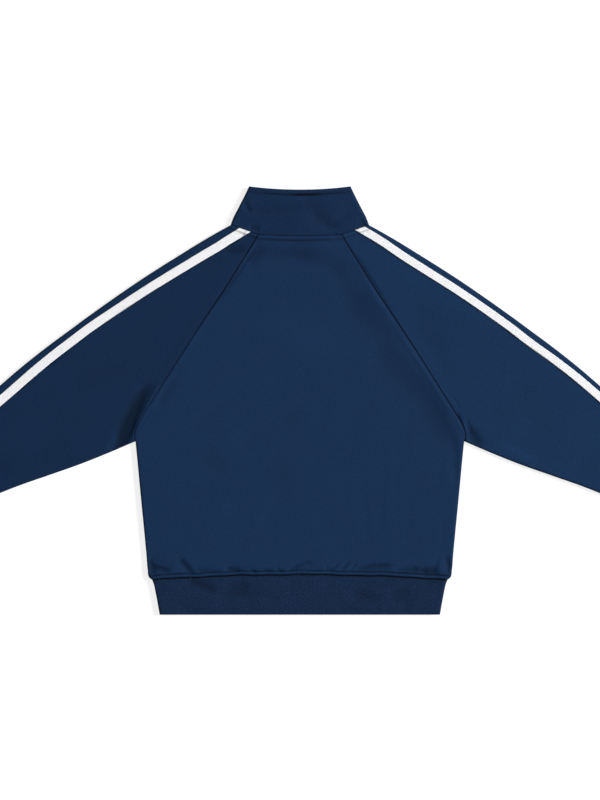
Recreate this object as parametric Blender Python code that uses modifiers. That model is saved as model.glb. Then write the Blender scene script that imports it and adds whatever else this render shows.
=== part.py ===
"""Zip-front track jacket with raglan sleeves, stand collar and rib bands, laid face down.

World units are metres and +Z is up. The jacket rests on Z = 0 with its back panel uppermost and its
collar towards +Y, so the wearer's left sleeve points to -X. Sizes below are millimetres, and MM turns
them into metres when a mesh is made.
"""
import math
from collections import namedtuple

import bmesh
import bpy
from mathutils import Vector

MM = 0.001
JACKET = "track_jacket"         # collection of the sub-parts
SLIDER_SHAPES = "slider_shapes"     # collection of the shapes joined into the slider

# Cloth walls
CLOTH = 1.3             # body and sleeve cloth
DOUBLE_CLOTH = 2.2      # collar, hem band and cuffs, each folded double
SLEEVE_TAPE = 1.0
ZIP_TAPE = 1.0

# The jacket as it lies: two layers of cloth one on the other
CLOTH_STACK = 6.0       # height of the body and the sleeves
BAND_STACK = 6.6        # height at the collar, the hem band and the cuffs
ROLL_REACH = 1.2        # how far a folded edge rolls, as a share of half the stack
ROLL_STEPS = 3
SEAM_GAP = 0.3
SEAM_INSET = 0.18       # how far a piece stands back from its seam, measured along X or Y
EDGE_STEP = 0.3         # last column before an edge on the flat
EDGE_FACE = 0.55        # height of the upright face where two edges meet in a fold
EDGE_LEAN = 0.02
ARMPIT_GAP = 1.2        # between back and front where four pieces meet
COLUMN_SHARES = (0.0, 0.25, 0.5, 0.78)      # columns across the level part of a panel

# Where the stack grows from cloth to band height
HEM_RAMP = (-279.0, 29.0)       # Y of the full height, and the length of the ramp above it
NECK_RAMP = (265.0, 30.0)       # Y of the full height, and the length of the ramp below it
CUFF_RAMP = (385.0, 35.0)       # distance down the sleeve of the full height, and the ramp before it

# Zip
ZIP_EDGE = 6.0          # from the centre line to the edge of each front
ZIP_TAPE_INNER = 3.4
ZIP_TAPE_OUTER = 15.0
CHAIN_WIDTH = 3.0       # one half of the chain
CHAIN_DEPTH = 2.0
CHAIN_GAP = 0.3         # between the two halves
CHAIN_BOTTOM = -330.7
CHAIN_TOP = 299.0
CHAIN_PARTS_AT = 289.5  # the two halves spread above this Y, inside the slider
CHAIN_TOP_SPREAD = 1.6
SLIDER_Y = 293.0
SLIDER_LENGTH = 11.0
SLIDER_REAR_HALF = 4.0
SLIDER_FRONT_HALF = 5.1
SLIDER_REAR_CORNER = 0.8
SLIDER_NOSE_CORNER = 1.2
SLIDER_FLARE = (-1.0, 2.5)      # where the plate widens, from the slider's middle
SLIDER_PLATE = 1.0
SLIDER_CLEAR = 0.2
BAIL_WIDTH = 1.8
BAIL_DEPTH = 0.7
BAIL_LENGTH = 9.0
BAIL_FOOT = 1.0
POST_HALF = 0.7
POST_SPAN = (2.2, 5.0)          # from the slider's middle
JOIN_BITE = 0.01                # keeps joined shapes from sharing a face
TAB_LENGTH = 30.0
TAB_WIDTH = 6.0
TAB_DEPTH = 1.2
TAB_SHOULDER = 9.0              # down the tab from the hinge
TAB_WAIST = (13.0, 0.7)         # down the tab, and how much each side is drawn in
TAB_TIP = ((3.0, 0.0), (0.8, 1.6), (0.0, 2.4))     # up from the end, and in from the side
TAB_WINDOW = (2.8, 4.6)         # width and length of the window that the bail passes through
STOP_LENGTH = 2.7
BOX_LENGTH = 10.0
STOP_EDGE = 0.3                 # bevel on the stops
BOX_EDGE = 0.4                  # bevel on the box

# The layers lift a little over the slider
LIFT_REACH = (60.0, 80.0)       # along X and Y
FRONT_LIFT = 1.6
BACK_LIFT = 3.0

# Stand collar
NECK_BACK_MID = 263.8
NECK_FRONT_MID = 225.0
NECK_FRONT_BEND = 2.2
NECK_BEND_RAMP = (80.8, 100.0)  # Y where the fronts' rows begin to bend, and the length over which they do
ROW_BEND = 2.0                  # power of the curve that every other row follows to its side
COLLAR_BACK_TOP = 337.0
COLLAR_CORNER = 342.6
COLLAR_FRONT_TOP = 305.0
COLLAR_SIDE_SHARE = 0.82        # one more column between the raglan seam and the side fold

HEM_BOTTOM = -342.6

# Sleeves: below the armpit each runs straight, 30 degrees down from the horizontal
SLEEVE_ANGLE = math.radians(-30.0)
CUFF_SEAM = 390.0       # down the sleeve, from the armpit row
CUFF_END = 450.0

# Raglan seams and shoulder fold, one row from the neck to the armpit:
# the seam on the back, the seam on the front, the front's Y at the zip, and the sleeve's top fold.
RaglanRow = namedtuple("RaglanRow", "back_x back_y front_x front_y zip_y fold_x fold_y")
RAGLAN = [
    RaglanRow(66.4, 265.9, 85.0, 256.1, 225.0, 110.4, 281.1),
    RaglanRow(96.8, 216.8, 102.0, 216.8, 195.0, 136.0, 266.9),
    RaglanRow(126.2, 170.4, 124.0, 170.4, 160.0, 164.0, 250.5),
    RaglanRow(153.6, 129.6, 147.0, 129.6, 125.0, 192.0, 233.1),
    RaglanRow(185.6, 80.8, 176.0, 80.8, 80.8, 224.0, 213.1),
    RaglanRow(214.6, 34.7, 205.0, 34.7, 34.7, 256.0, 192.3),
    RaglanRow(235.0, 2.6, 226.0, 2.6, 2.6, 284.0, 173.3),
    RaglanRow(249.2, -20.3, 243.0, -20.3, -20.3, 308.0, 156.6),
    RaglanRow(261.6, -41.8, 257.5, -41.8, -41.8, 332.0, 139.5),
    RaglanRow(265.4, -57.1, 264.0, -57.1, -57.1, 350.0, 126.5),
    RaglanRow(262.9, -64.6, 262.9, -64.6, -64.6, 365.0, 115.3),
]

# Body below the armpit, from the hem up: Y at the centre, Y and half width at the side fold
BodyRow = namedtuple("BodyRow", "mid_y side_y side_x")
BODY = [
    BodyRow(-279.0, -286.8, 236.0),
    BodyRow(-274.5, -283.2, 240.3),
    BodyRow(-264.0, -270.0, 242.9),
    BodyRow(-248.8, -248.8, 244.7),
    BodyRow(-210.4, -210.4, 248.3),
    BodyRow(-172.0, -172.0, 252.1),
    BodyRow(-133.6, -133.6, 255.8),
    BodyRow(-95.2, -95.2, 259.4),
]

# Hem band from its bottom edge up to the seam
HEM = [
    BodyRow(HEM_BOTTOM, HEM_BOTTOM, 223.6),
    BodyRow(-306.4, -306.4, 230.3),
    BodyRow(-289.0, -294.0, 233.0),
    BodyRow(-279.4, -287.2, 235.6),
]

# Side fold of the collar, from the neck seam up
CollarRow = namedtuple("CollarRow", "side_y side_x")
COLLAR = [
    CollarRow(281.3, 110.3),
    CollarRow(292.0, 106.4),
    CollarRow(308.0, 98.2),
    CollarRow(320.0, 92.1),
    CollarRow(332.0, 86.0),
    CollarRow(COLLAR_CORNER, 80.8),
]

# Half width of the sleeve and of the cuff along the arm
ArmRow = namedtuple("ArmRow", "along half")
SLEEVE_ARM = [
    ArmRow(50.0, 97.4),
    ArmRow(100.0, 90.0),
    ArmRow(150.0, 80.6),
    ArmRow(200.0, 71.2),
    ArmRow(250.0, 63.9),
    ArmRow(300.0, 58.4),
    ArmRow(345.0, 54.2),
    ArmRow(380.0, 51.5),
    ArmRow(CUFF_SEAM, 47.0),
]
CUFF = [
    ArmRow(CUFF_SEAM + SEAM_GAP, 46.6),
    ArmRow(397.0, 43.6),
    ArmRow(CUFF_END, 42.5),
]

# White tape on each sleeve, from the neck down: how far along the top fold, and how far the tape lies from
# the fold there on the left and on the right
TapeRow = namedtuple("TapeRow", "along left right")
TAPE = [
    TapeRow(0.0, 11.4, 5.4),
    TapeRow(38.0, 13.8, 7.0),
    TapeRow(60.0, 13.7, 8.6),
    TapeRow(115.0, 13.0, 9.5),
    TapeRow(210.0, 11.4, 8.8),
    TapeRow(290.0, 9.5, 8.9),
    TapeRow(326.0, 10.0, 9.8),
    TapeRow(363.0, 10.6, 8.8),
    TapeRow(431.0, 12.0, 7.4),
    TapeRow(540.0, 11.4, 8.0),
    TapeRow(700.0, 11.0, 8.4),
]
TAPE_WIDTHS = {-1: 14.0, 1: 12.4}

# Height of the cloth under the zip tape, from the hem up: Y and the wall that the tape lies on
ZipRow = namedtuple("ZipRow", "y wall")
ZIP = [
    ZipRow(-341.4, DOUBLE_CLOTH),
    ZipRow(-277.0, DOUBLE_CLOTH),
    ZipRow(-264.0, CLOTH),
    ZipRow(-130.0, CLOTH),
    ZipRow(20.0, CLOTH),
    ZipRow(150.0, CLOTH),
    ZipRow(208.0, CLOTH),
    ZipRow(221.0, DOUBLE_CLOTH),
    ZipRow(241.0, DOUBLE_CLOTH),
    ZipRow(257.0, DOUBLE_CLOTH),
    ZipRow(273.0, DOUBLE_CLOTH),
    ZipRow(CHAIN_PARTS_AT, DOUBLE_CLOTH),
    ZipRow(296.0, DOUBLE_CLOTH),
    ZipRow(CHAIN_TOP, DOUBLE_CLOTH),
    ZipRow(304.6, DOUBLE_CLOTH),
]

Finish = namedtuple("Finish", "colour roughness metallic")
FINISHES = {
    "navy_cloth": Finish((0.0116, 0.0319, 0.0823), 0.85, 0.0),
    "navy_rib": Finish((0.0100, 0.0250, 0.0600), 0.90, 0.0),
    "white_tape": Finish((0.87, 0.87, 0.88), 0.80, 0.0),
    "zip_tape": Finish((0.010, 0.026, 0.065), 0.85, 0.0),
    "zip_coil": Finish((0.012, 0.028, 0.066), 0.45, 0.0),
    "zip_metal": Finish((0.62, 0.62, 0.64), 0.30, 1.0),
}


# Plan curves and folds

def blend(a, b, share):
    return a + (b - a) * share


def ease(value):
    """Smooth step from 0 to 1."""
    value = min(1.0, max(0.0, value))
    return value * value * (3.0 - 2.0 * value)


def back_neck_y(x):
    """Neck seam across the back: nearly level on the panel, then straight up the sleeve's end."""
    neck = RAGLAN[0]
    x = abs(x)
    if x <= neck.back_x:
        return blend(NECK_BACK_MID, neck.back_y, (x / neck.back_x) ** ROW_BEND)
    return blend(neck.back_y, neck.fold_y, (x - neck.back_x) / (neck.fold_x - neck.back_x))


def front_neck_y(x):
    """Neck seam across one front, which dips well below the back's."""
    neck = RAGLAN[0]
    x = abs(x)
    if x <= neck.front_x:
        share = max(0.0, (x - ZIP_EDGE) / (neck.front_x - ZIP_EDGE))
        return blend(NECK_FRONT_MID, neck.front_y, share ** NECK_FRONT_BEND)
    return blend(neck.front_y, neck.fold_y, (x - neck.front_x) / (neck.fold_x - neck.front_x))


def collar_top_y(x, layer):
    """Top edge of the collar, which sags between its two corners, more so at the front."""
    middle = COLLAR_BACK_TOP if layer > 0 else COLLAR_FRONT_TOP
    return blend(middle, COLLAR_CORNER, (x / COLLAR[-1].side_x) ** ROW_BEND)


def arm_axis():
    """Start and direction of the straight part of the right sleeve, and the direction across it."""
    armpit = RAGLAN[-1]
    start = Vector((armpit.back_x + armpit.fold_x, armpit.back_y + armpit.fold_y)) / 2
    along = Vector((math.cos(SLEEVE_ANGLE), math.sin(SLEEVE_ANGLE)))
    return start, along, Vector((-along.y, along.x))


def arm_edges(row):
    """Underarm point and top fold point of one arm row."""
    start, along, across = arm_axis()
    middle = start + along * row.along
    return middle - across * row.half, middle + across * row.half


def fold_lines():
    """The right half's folded edges in plan: body side, underarm and shoulder with collar side."""
    armpit = Vector((RAGLAN[-1].back_x, RAGLAN[-1].back_y))
    arm = [arm_edges(row) for row in SLEEVE_ARM + CUFF]
    side = [Vector((row.side_x, row.side_y)) for row in HEM + BODY] + [armpit]
    under = [armpit] + [lower for lower, _ in arm]
    shoulder = [Vector((row.side_x, row.side_y)) for row in reversed(COLLAR)]
    shoulder += [Vector((row.fold_x, row.fold_y)) for row in RAGLAN]
    shoulder += [upper for _, upper in arm]
    return [side, under, shoulder]


FOLD_LINES = fold_lines()


def segment_distance(point, start, end):
    run = end - start
    share = min(1.0, max(0.0, (point - start).dot(run) / run.length_squared))
    return (point - start - run * share).length


def fold_distance(x, y):
    """Distance in plan to the nearest folded edge."""
    point = Vector((abs(x), y))
    return min(segment_distance(point, a, b) for line in FOLD_LINES for a, b in zip(line, line[1:]))


# Height of the layers

def stack_height(x, y):
    """Height of the two layers together, a little more where they are doubled."""
    start, along, _ = arm_axis()
    down_arm = (Vector((abs(x), y)) - start).dot(along)
    hem = ease((HEM_RAMP[0] + HEM_RAMP[1] - y) / HEM_RAMP[1])
    neck = ease((y - NECK_RAMP[0] + NECK_RAMP[1]) / NECK_RAMP[1])
    cuff = ease((down_arm - CUFF_RAMP[0] + CUFF_RAMP[1]) / CUFF_RAMP[1])
    return blend(CLOTH_STACK, BAND_STACK, max(hem, neck, cuff))


def lift(x, y):
    """Share of the slider's lift: 1 over the slider, fading to 0."""
    away = math.hypot(x / LIFT_REACH[0], (y - SLIDER_Y) / LIFT_REACH[1])
    return 1.0 - ease(away)


def roll_height(distance, half_stack):
    """Height above the stack's middle at a distance from a fold: a quarter ellipse, then level."""
    share = min(1.0, distance / (ROLL_REACH * half_stack))
    return half_stack * math.sqrt(1.0 - (1.0 - share) ** 2)


def on_layer(point, layer, rise=None):
    """Outer surface above a plan point: layer 1 is the back, -1 the front, 0 the fold between them."""
    x, y = point
    middle = stack_height(x, y) / 2
    if rise is None:
        rise = roll_height(fold_distance(x, y), middle)
    lifts = {1: BACK_LIFT, -1: FRONT_LIFT, 0: 0.0}
    return Vector((x, y, middle + layer * rise + lifts[layer] * lift(x, y)))


def edge_of(inner, edge, layer, fold_gap):
    """Last two points of a row: on the flat, or upright where the edge meets its fellow in a fold."""
    length = (edge - inner).length
    before = edge.lerp(inner, (EDGE_LEAN if fold_gap else EDGE_STEP) / length)
    if fold_gap:
        return [on_layer(before, layer, fold_gap / 2 + EDGE_FACE), on_layer(edge, layer, fold_gap / 2)]
    return [on_layer(before, layer), on_layer(edge, layer)]


def raglan_gap(row):
    """Only the last row of the raglan seam ends in a fold."""
    return ARMPIT_GAP if row is RAGLAN[-1] else None


def roll_stops(half_stack):
    """Distances from a fold at which its roll turns by equal angles, the fold itself first."""
    reach = ROLL_REACH * half_stack
    return [reach * (1.0 - math.cos(math.pi / 2 * k / ROLL_STEPS)) for k in range(ROLL_STEPS + 1)]


# Making solids

def material(name):
    finish = FINISHES[name]
    made = bpy.data.materials.new(name)
    made.use_nodes = True
    shader = made.node_tree.nodes["Principled BSDF"]
    shader.inputs["Base Color"].default_value = (*finish.colour, 1.0)
    shader.inputs["Roughness"].default_value = finish.roughness
    shader.inputs["Metallic"].default_value = finish.metallic
    return made


def piece(name, mesh, finish, collection=JACKET):
    """Named object with a material of its own."""
    mesh.materials.clear()
    mesh.materials.append(material(finish))
    mesh.materials[0].name = name + "_" + finish
    thing = bpy.data.objects.new(name, mesh)
    bpy.data.collections[collection].objects.link(thing)
    return thing


def shell(name, rows, wall, finish, turned=False, ring=False):
    """Closed wall through rows of outer points in millimetres, thickened inwards by Solidify."""
    bm = bmesh.new()
    grid = [[bm.verts.new(point * MM) for point in row] for row in rows]
    columns = len(grid[0])
    for near, far in zip(grid, grid[1:]):
        for k in range(columns if ring else columns - 1):
            n = (k + 1) % columns
            corners = (near[k], near[n], far[n], far[k])
            bm.faces.new(tuple(reversed(corners)) if turned else corners)
    mesh = bpy.data.meshes.new(name)
    bm.to_mesh(mesh)
    bm.free()
    thing = piece(name, mesh, finish)
    thickness = thing.modifiers.new("wall", "SOLIDIFY")
    thickness.thickness = wall * MM
    thickness.offset = -1.0
    thickness.use_even_offset = True
    return thing


def mirrored(rows, side):
    """The rows of a right-hand piece, or their mirror image for the left."""
    return [[Vector((point.x * side, point.y, point.z)) for point in row] for row in rows]


# Body

def half_width_stops(inner, outer, half_stack, shares):
    """X of the columns from an inner edge to an outer one, closer together over the roll."""
    rolls = roll_stops(half_stack)
    flat_end = outer - rolls[-1]
    return [blend(inner, flat_end, share) for share in shares] + [outer - roll for roll in reversed(rolls)]


def panel_row(inner, mid_y, side_x, side_y, bend, layer, fold_gap):
    """Half a row of the back or of a front, from its inner edge to its side or raglan seam."""
    half_stack = stack_height(side_x, side_y) / 2
    places = []
    for x in half_width_stops(inner, side_x, half_stack, COLUMN_SHARES):
        share = (x - inner) / (side_x - inner)
        places.append(Vector((x, blend(mid_y, side_y, share ** bend))))
    row = [on_layer(place, layer) for place in places[:-1]]
    return row + edge_of(places[-2], places[-1], layer, fold_gap)


def back():
    """Back panel, in one piece from side to side."""
    rows = [panel_row(0.0, row.mid_y, row.side_x, row.side_y, ROW_BEND, 1, SEAM_GAP) for row in BODY]
    for row in reversed(RAGLAN):
        at_neck = row is RAGLAN[0]
        side_y = row.back_y - (SEAM_INSET if at_neck else 0.0)
        mid_y = NECK_BACK_MID - SEAM_INSET if at_neck else row.back_y
        rows.append(panel_row(0.0, mid_y, row.back_x - SEAM_INSET, side_y, ROW_BEND, 1, raglan_gap(row)))
    whole = [[Vector((-p.x, p.y, p.z)) for p in reversed(row[1:])] + row for row in rows]
    return shell("back", whole, CLOTH, "navy_cloth")


def front(name, side):
    """One front, from the zip to the side and raglan seams."""
    rows = [panel_row(ZIP_EDGE, row.mid_y, row.side_x, row.side_y, ROW_BEND, -1, SEAM_GAP) for row in BODY]
    start, length = NECK_BEND_RAMP
    for row in reversed(RAGLAN):
        bend = blend(1.0, NECK_FRONT_BEND, ease((row.zip_y - start) / length))
        inset = SEAM_INSET if row is RAGLAN[0] else 0.0
        rows.append(panel_row(ZIP_EDGE, row.zip_y - inset, row.front_x - SEAM_INSET,
                              row.front_y - inset, bend, -1, raglan_gap(row)))
    return shell(name, mirrored(rows, side), CLOTH, "navy_cloth", turned=side > 0)


def band_ring(rows_of_points):
    """Rows that run from the left front edge round the left fold, over the back and round to the right."""
    rings = []
    for front_half, fold, back_half in rows_of_points:
        right = back_half + [fold] + list(reversed(front_half))
        left = [Vector((-p.x, p.y, p.z)) for p in reversed(right[1:])]
        rings.append(left + right)
    return rings


def hem_band():
    """Double rib band round the bottom, open at the zip."""
    rows = []
    for row in HEM:
        half_stack = stack_height(row.side_x, row.side_y) / 2
        halves = []
        for inner, layer in ((ZIP_EDGE, -1), (0.0, 1)):
            stops = half_width_stops(inner, row.side_x, half_stack, COLUMN_SHARES)
            places = [(x, blend(row.mid_y, row.side_y, (x / row.side_x) ** ROW_BEND)) for x in stops]
            halves.append([on_layer(place, layer) for place in places[:-1]])
        rows.append((halves[0], on_layer((row.side_x, row.side_y), 0), halves[1]))
    return shell("hem_band", band_ring(rows), DOUBLE_CLOTH, "navy_rib")


def collar_shares(inner, seam_x):
    """Columns of the collar that meet the columns of the panel below and the raglan seam beside it."""
    reach = roll_stops(BAND_STACK / 2)[-1]
    level = seam_x - SEAM_INSET - reach
    stops = [blend(inner, level, share) for share in COLUMN_SHARES] + [seam_x]
    return [(stop - inner) / (COLLAR[0].side_x - reach - inner) for stop in stops]


def collar():
    """Double stand collar, folded flat at its two sides and open at the zip."""
    neck = RAGLAN[0]
    base_width = COLLAR[0].side_x
    top_width = COLLAR[-1].side_x
    half_stack = BAND_STACK / 2
    front_shares = collar_shares(ZIP_EDGE, neck.front_x)
    back_shares = collar_shares(0.0, neck.back_x) + [COLLAR_SIDE_SHARE]
    rows = []
    for row in COLLAR:
        share = (row.side_y - COLLAR[0].side_y) / (COLLAR[-1].side_y - COLLAR[0].side_y)
        halves = []
        for inner, layer, shares, seam in ((ZIP_EDGE, -1, front_shares, front_neck_y),
                                           (0.0, 1, back_shares, back_neck_y)):
            stops = [half_width_stops(inner, width, half_stack, shares)
                     for width in (base_width, row.side_x, top_width)]
            half = []
            for base_x, x, top_x in list(zip(*stops))[:-1]:
                y = blend(seam(base_x) + SEAM_INSET, collar_top_y(top_x, layer), share)
                half.append(on_layer((x, y), layer))
            halves.append(half)
        rows.append((halves[0], on_layer((row.side_x, row.side_y), 0), halves[1]))
    return shell("collar", band_ring(rows), DOUBLE_CLOTH, "navy_cloth")


# Sleeves

def across(lower, upper, half_stack):
    """Plan points from the lower edge to the top fold, closer together over both rolls."""
    length = (upper - lower).length
    rolls = roll_stops(half_stack)
    flat = length - 2 * rolls[-1]
    stops = rolls + [rolls[-1] + flat * share for share in (0.25, 0.5, 0.75)]
    stops += [length - roll for roll in reversed(rolls)]
    return [lower.lerp(upper, stop / length) for stop in stops]


def sleeve_row(lower_back, lower_front, upper, fold_gap):
    """One section of the sleeve: over the back layer, round the top fold and under the front layer."""
    half_stack = stack_height(upper.x, upper.y) / 2
    halves = []
    for lower, layer in ((lower_back, 1), (lower_front, -1)):
        places = across(lower, upper, half_stack)
        edge = list(reversed(edge_of(places[1], places[0], layer, fold_gap)))
        halves.append(edge + [on_layer(place, layer) for place in places[1:-1]])
    return halves[0] + [on_layer(upper, 0)] + list(reversed(halves[1]))


def sleeve_folds():
    """Top fold of the right sleeve from the neck to the cuff seam."""
    folds = [Vector((row.fold_x, row.fold_y)) for row in RAGLAN]
    folds[0] = folds[0].lerp(folds[1], SEAM_GAP / (folds[1] - folds[0]).length)
    return folds + [arm_edges(row)[1] for row in SLEEVE_ARM]


def sleeve(name, side):
    """Raglan sleeve in one piece, its two long edges meeting at the underarm seam."""
    folds = sleeve_folds()
    rows = []
    for row, fold in zip(RAGLAN, folds):
        drop = SEAM_INSET if row is RAGLAN[0] else 0.0
        lower_back = Vector((row.back_x + SEAM_INSET, row.back_y - drop))
        lower_front = Vector((row.front_x + SEAM_INSET, row.front_y - drop))
        rows.append(sleeve_row(lower_back, lower_front, fold, raglan_gap(row)))
    for row in SLEEVE_ARM:
        lower, upper = arm_edges(row)
        rows.append(sleeve_row(lower, lower, upper, SEAM_GAP))
    return shell(name, mirrored(rows, side), CLOTH, "navy_cloth", turned=side > 0)


def cuff(name, side):
    """Double rib cuff, a flattened tube."""
    rows = []
    for row in CUFF:
        lower, upper = arm_edges(row)
        half_stack = BAND_STACK / 2
        plan = across(lower, upper, half_stack)
        over = [on_layer(point, 1) for point in plan[1:-1]]
        under = [on_layer(point, -1) for point in reversed(plan[1:-1])]
        rows.append([on_layer(lower, 0)] + over + [on_layer(upper, 0)] + under)
    return shell(name, mirrored(rows, side), DOUBLE_CLOTH, "navy_rib", turned=side > 0, ring=True)


def sleeve_tape(name, side):
    """White tape sewn along the sleeve beside its top fold, from the neck seam to the cuff seam."""
    folds = sleeve_folds()
    raised = Vector((0.0, 0.0, SEAM_GAP + SLEEVE_TAPE))
    rows, along = [], 0.0
    for place, fold in enumerate(folds):
        before = folds[max(0, place - 1)]
        after = folds[min(len(folds) - 1, place + 1)]
        run = (after - before).normalized()
        inward = Vector((run.y, -run.x))
        along += (fold - before).length
        edge = tape_distance(along, side)
        points = [fold + inward * (edge + TAPE_WIDTHS[side]), fold + inward * edge]
        if place == 0:
            points = [on_neck_seam(point, run) for point in points]
        rows.append([on_layer(point, 1) + raised for point in points])
    return shell(name, mirrored(rows, side), SLEEVE_TAPE, "white_tape", turned=side > 0)


def tape_distance(along, side):
    """Distance of a sleeve tape from the top fold, at a distance along the fold from the neck."""
    for low, high in zip(TAPE, TAPE[1:]):
        if along <= high.along:
            share = (along - low.along) / (high.along - low.along)
            return blend(low.left, high.left, share) if side < 0 else blend(low.right, high.right, share)
    return TAPE[-1].left if side < 0 else TAPE[-1].right


def on_neck_seam(point, run):
    """Slides a tape corner along the tape until it meets the sleeve's neck edge."""
    neck = RAGLAN[0]
    seam = Vector((neck.fold_x - neck.back_x, neck.fold_y - neck.back_y))
    start = Vector((neck.back_x, neck.back_y - SEAM_INSET))
    return point + run * ((start - point).cross(seam) / run.cross(seam))


# Zip

def wall_under_zip(y):
    """Wall that the zip tape lies on at a height up the front."""
    for low, high in zip(ZIP, ZIP[1:]):
        if y <= high.y:
            return blend(low.wall, high.wall, (y - low.y) / (high.y - low.y))
    return ZIP[-1].wall


def chain_spread(y):
    """How far each half of the chain moves out above the slider's mouth."""
    share = (y - CHAIN_PARTS_AT) / (CHAIN_TOP - CHAIN_PARTS_AT)
    return CHAIN_TOP_SPREAD * min(1.0, max(0.0, share))


def zip_level(x, y):
    """Height of the zip tape's underside."""
    return wall_under_zip(y) + SEAM_GAP + FRONT_LIFT * lift(x, y)


def chain_under(y):
    """Height of the chain's underside: the tape's edge sits in the middle of the chain."""
    return zip_level(0.0, y) + (ZIP_TAPE - CHAIN_DEPTH) / 2


def zip_tape(name, side):
    """Tape of one zip half, inside the front's edge."""
    rows = []
    for row in ZIP:
        inner = ZIP_TAPE_INNER + chain_spread(row.y)
        stops = (inner, ZIP_EDGE, ZIP_TAPE_OUTER)
        rows.append([Vector((x, row.y, zip_level(x, row.y))) for x in stops])
    return shell(name, mirrored(rows, side), ZIP_TAPE, "zip_tape", turned=side > 0)


def zip_chain(name, side):
    """One half of the chain as a plain strip."""
    stops = [CHAIN_BOTTOM] + [row.y for row in ZIP if CHAIN_BOTTOM < row.y < CHAIN_TOP] + [CHAIN_TOP]
    rows = []
    for y in stops:
        inner = CHAIN_GAP / 2 + chain_spread(y)
        z = chain_under(y)
        rows.append([Vector((inner, y, z)), Vector((inner + CHAIN_WIDTH, y, z))])
    return shell(name, mirrored(rows, side), CHAIN_DEPTH, "zip_coil", turned=side > 0)


def block(name, low, high, finish, collection=JACKET):
    """Box between two corners in millimetres, its origin at the world's."""
    bm = bmesh.new()
    bmesh.ops.create_cube(bm, size=1.0)
    size = Vector(high) - Vector(low)
    middle = (Vector(high) + Vector(low)) / 2
    for vertex in bm.verts:
        vertex.co = Vector(vertex.co[k] * size[k] + middle[k] for k in range(3)) * MM
    mesh = bpy.data.meshes.new(name)
    bm.to_mesh(mesh)
    bm.free()
    return piece(name, mesh, finish, collection)


def eased(thing, width):
    """Small bevel on a hard piece's edges."""
    bevel = thing.modifiers.new("eased_edges", "BEVEL")
    bevel.width = width * MM
    bevel.segments = 1
    return thing


def zip_stop(name, side):
    """Metal stop above the slider on one tape."""
    inner = CHAIN_GAP / 2 + CHAIN_TOP_SPREAD
    low_z = chain_under(CHAIN_TOP) - SEAM_GAP
    xs = sorted((side * inner, side * (inner + CHAIN_WIDTH)))
    low = (xs[0], CHAIN_TOP + SEAM_GAP, low_z)
    high = (xs[1], CHAIN_TOP + SEAM_GAP + STOP_LENGTH, low_z + CHAIN_DEPTH + 2 * SEAM_GAP)
    return eased(block(name, low, high, "zip_metal"), STOP_EDGE)


def zip_box():
    """Box and pin that join the two halves at the hem."""
    half = CHAIN_GAP / 2 + CHAIN_WIDTH
    low_z = chain_under(CHAIN_BOTTOM) - SEAM_GAP
    top = CHAIN_BOTTOM - SEAM_GAP
    low = (-half, top - BOX_LENGTH, low_z)
    high = (half, top, low_z + CHAIN_DEPTH + 2 * SEAM_GAP)
    return eased(block("zip_box", low, high, "zip_metal"), BOX_EDGE)


def outline_plate(name, outline, low_z, depth, collection):
    """Flat metal plate from a 2D curve in millimetres, made a mesh."""
    curve = bpy.data.curves.new(name, "CURVE")
    curve.dimensions = "2D"
    curve.fill_mode = "BOTH"
    curve.extrude = depth / 2 * MM
    for loop in outline:
        spline = curve.splines.new("POLY")
        spline.points.add(len(loop) - 1)
        spline.use_cyclic_u = True
        for point, (x, y) in zip(spline.points, loop):
            point.co = (x * MM, y * MM, 0.0, 1.0)
    drawn = bpy.data.objects.new(name + "_curve", curve)
    bpy.context.scene.collection.objects.link(drawn)
    bpy.context.view_layer.update()
    mesh = bpy.data.meshes.new_from_object(drawn.evaluated_get(bpy.context.evaluated_depsgraph_get()))
    bpy.data.objects.remove(drawn)
    bm = bmesh.new()
    bm.from_mesh(mesh)
    bmesh.ops.remove_doubles(bm, verts=bm.verts, dist=0.000001)
    bmesh.ops.translate(bm, verts=bm.verts, vec=(0.0, 0.0, (low_z + depth / 2) * MM))
    bm.to_mesh(mesh)
    bm.free()
    mesh.name = name
    return piece(name, mesh, "zip_metal", collection)


def join(thing, others):
    """Unites hidden shapes with a piece."""
    for other in others:
        other.hide_render = True
        other.display_type = "WIRE"
        union = thing.modifiers.new("with_" + other.name, "BOOLEAN")
        union.operation = "UNION"
        union.object = other
    return thing


def slider_levels():
    """Heights in the slider: bail underside, outer plate, inner plate."""
    chain = chain_under(SLIDER_Y)
    outer = chain - SLIDER_CLEAR - SLIDER_PLATE
    inner = chain + CHAIN_DEPTH + SLIDER_CLEAR
    return 0.0, outer, inner


def slider_outline():
    """The slider's plate in plan, wider where the two halves part."""
    rear = SLIDER_Y - SLIDER_LENGTH / 2
    front_end = SLIDER_Y + SLIDER_LENGTH / 2
    right = [(SLIDER_REAR_HALF - SLIDER_REAR_CORNER, rear),
             (SLIDER_REAR_HALF, rear + SLIDER_REAR_CORNER),
             (SLIDER_REAR_HALF, SLIDER_Y + SLIDER_FLARE[0]),
             (SLIDER_FRONT_HALF, SLIDER_Y + SLIDER_FLARE[1]),
             (SLIDER_FRONT_HALF, front_end - SLIDER_NOSE_CORNER),
             (SLIDER_FRONT_HALF - SLIDER_NOSE_CORNER, front_end)]
    return right + [(-x, y) for x, y in reversed(right)]


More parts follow.
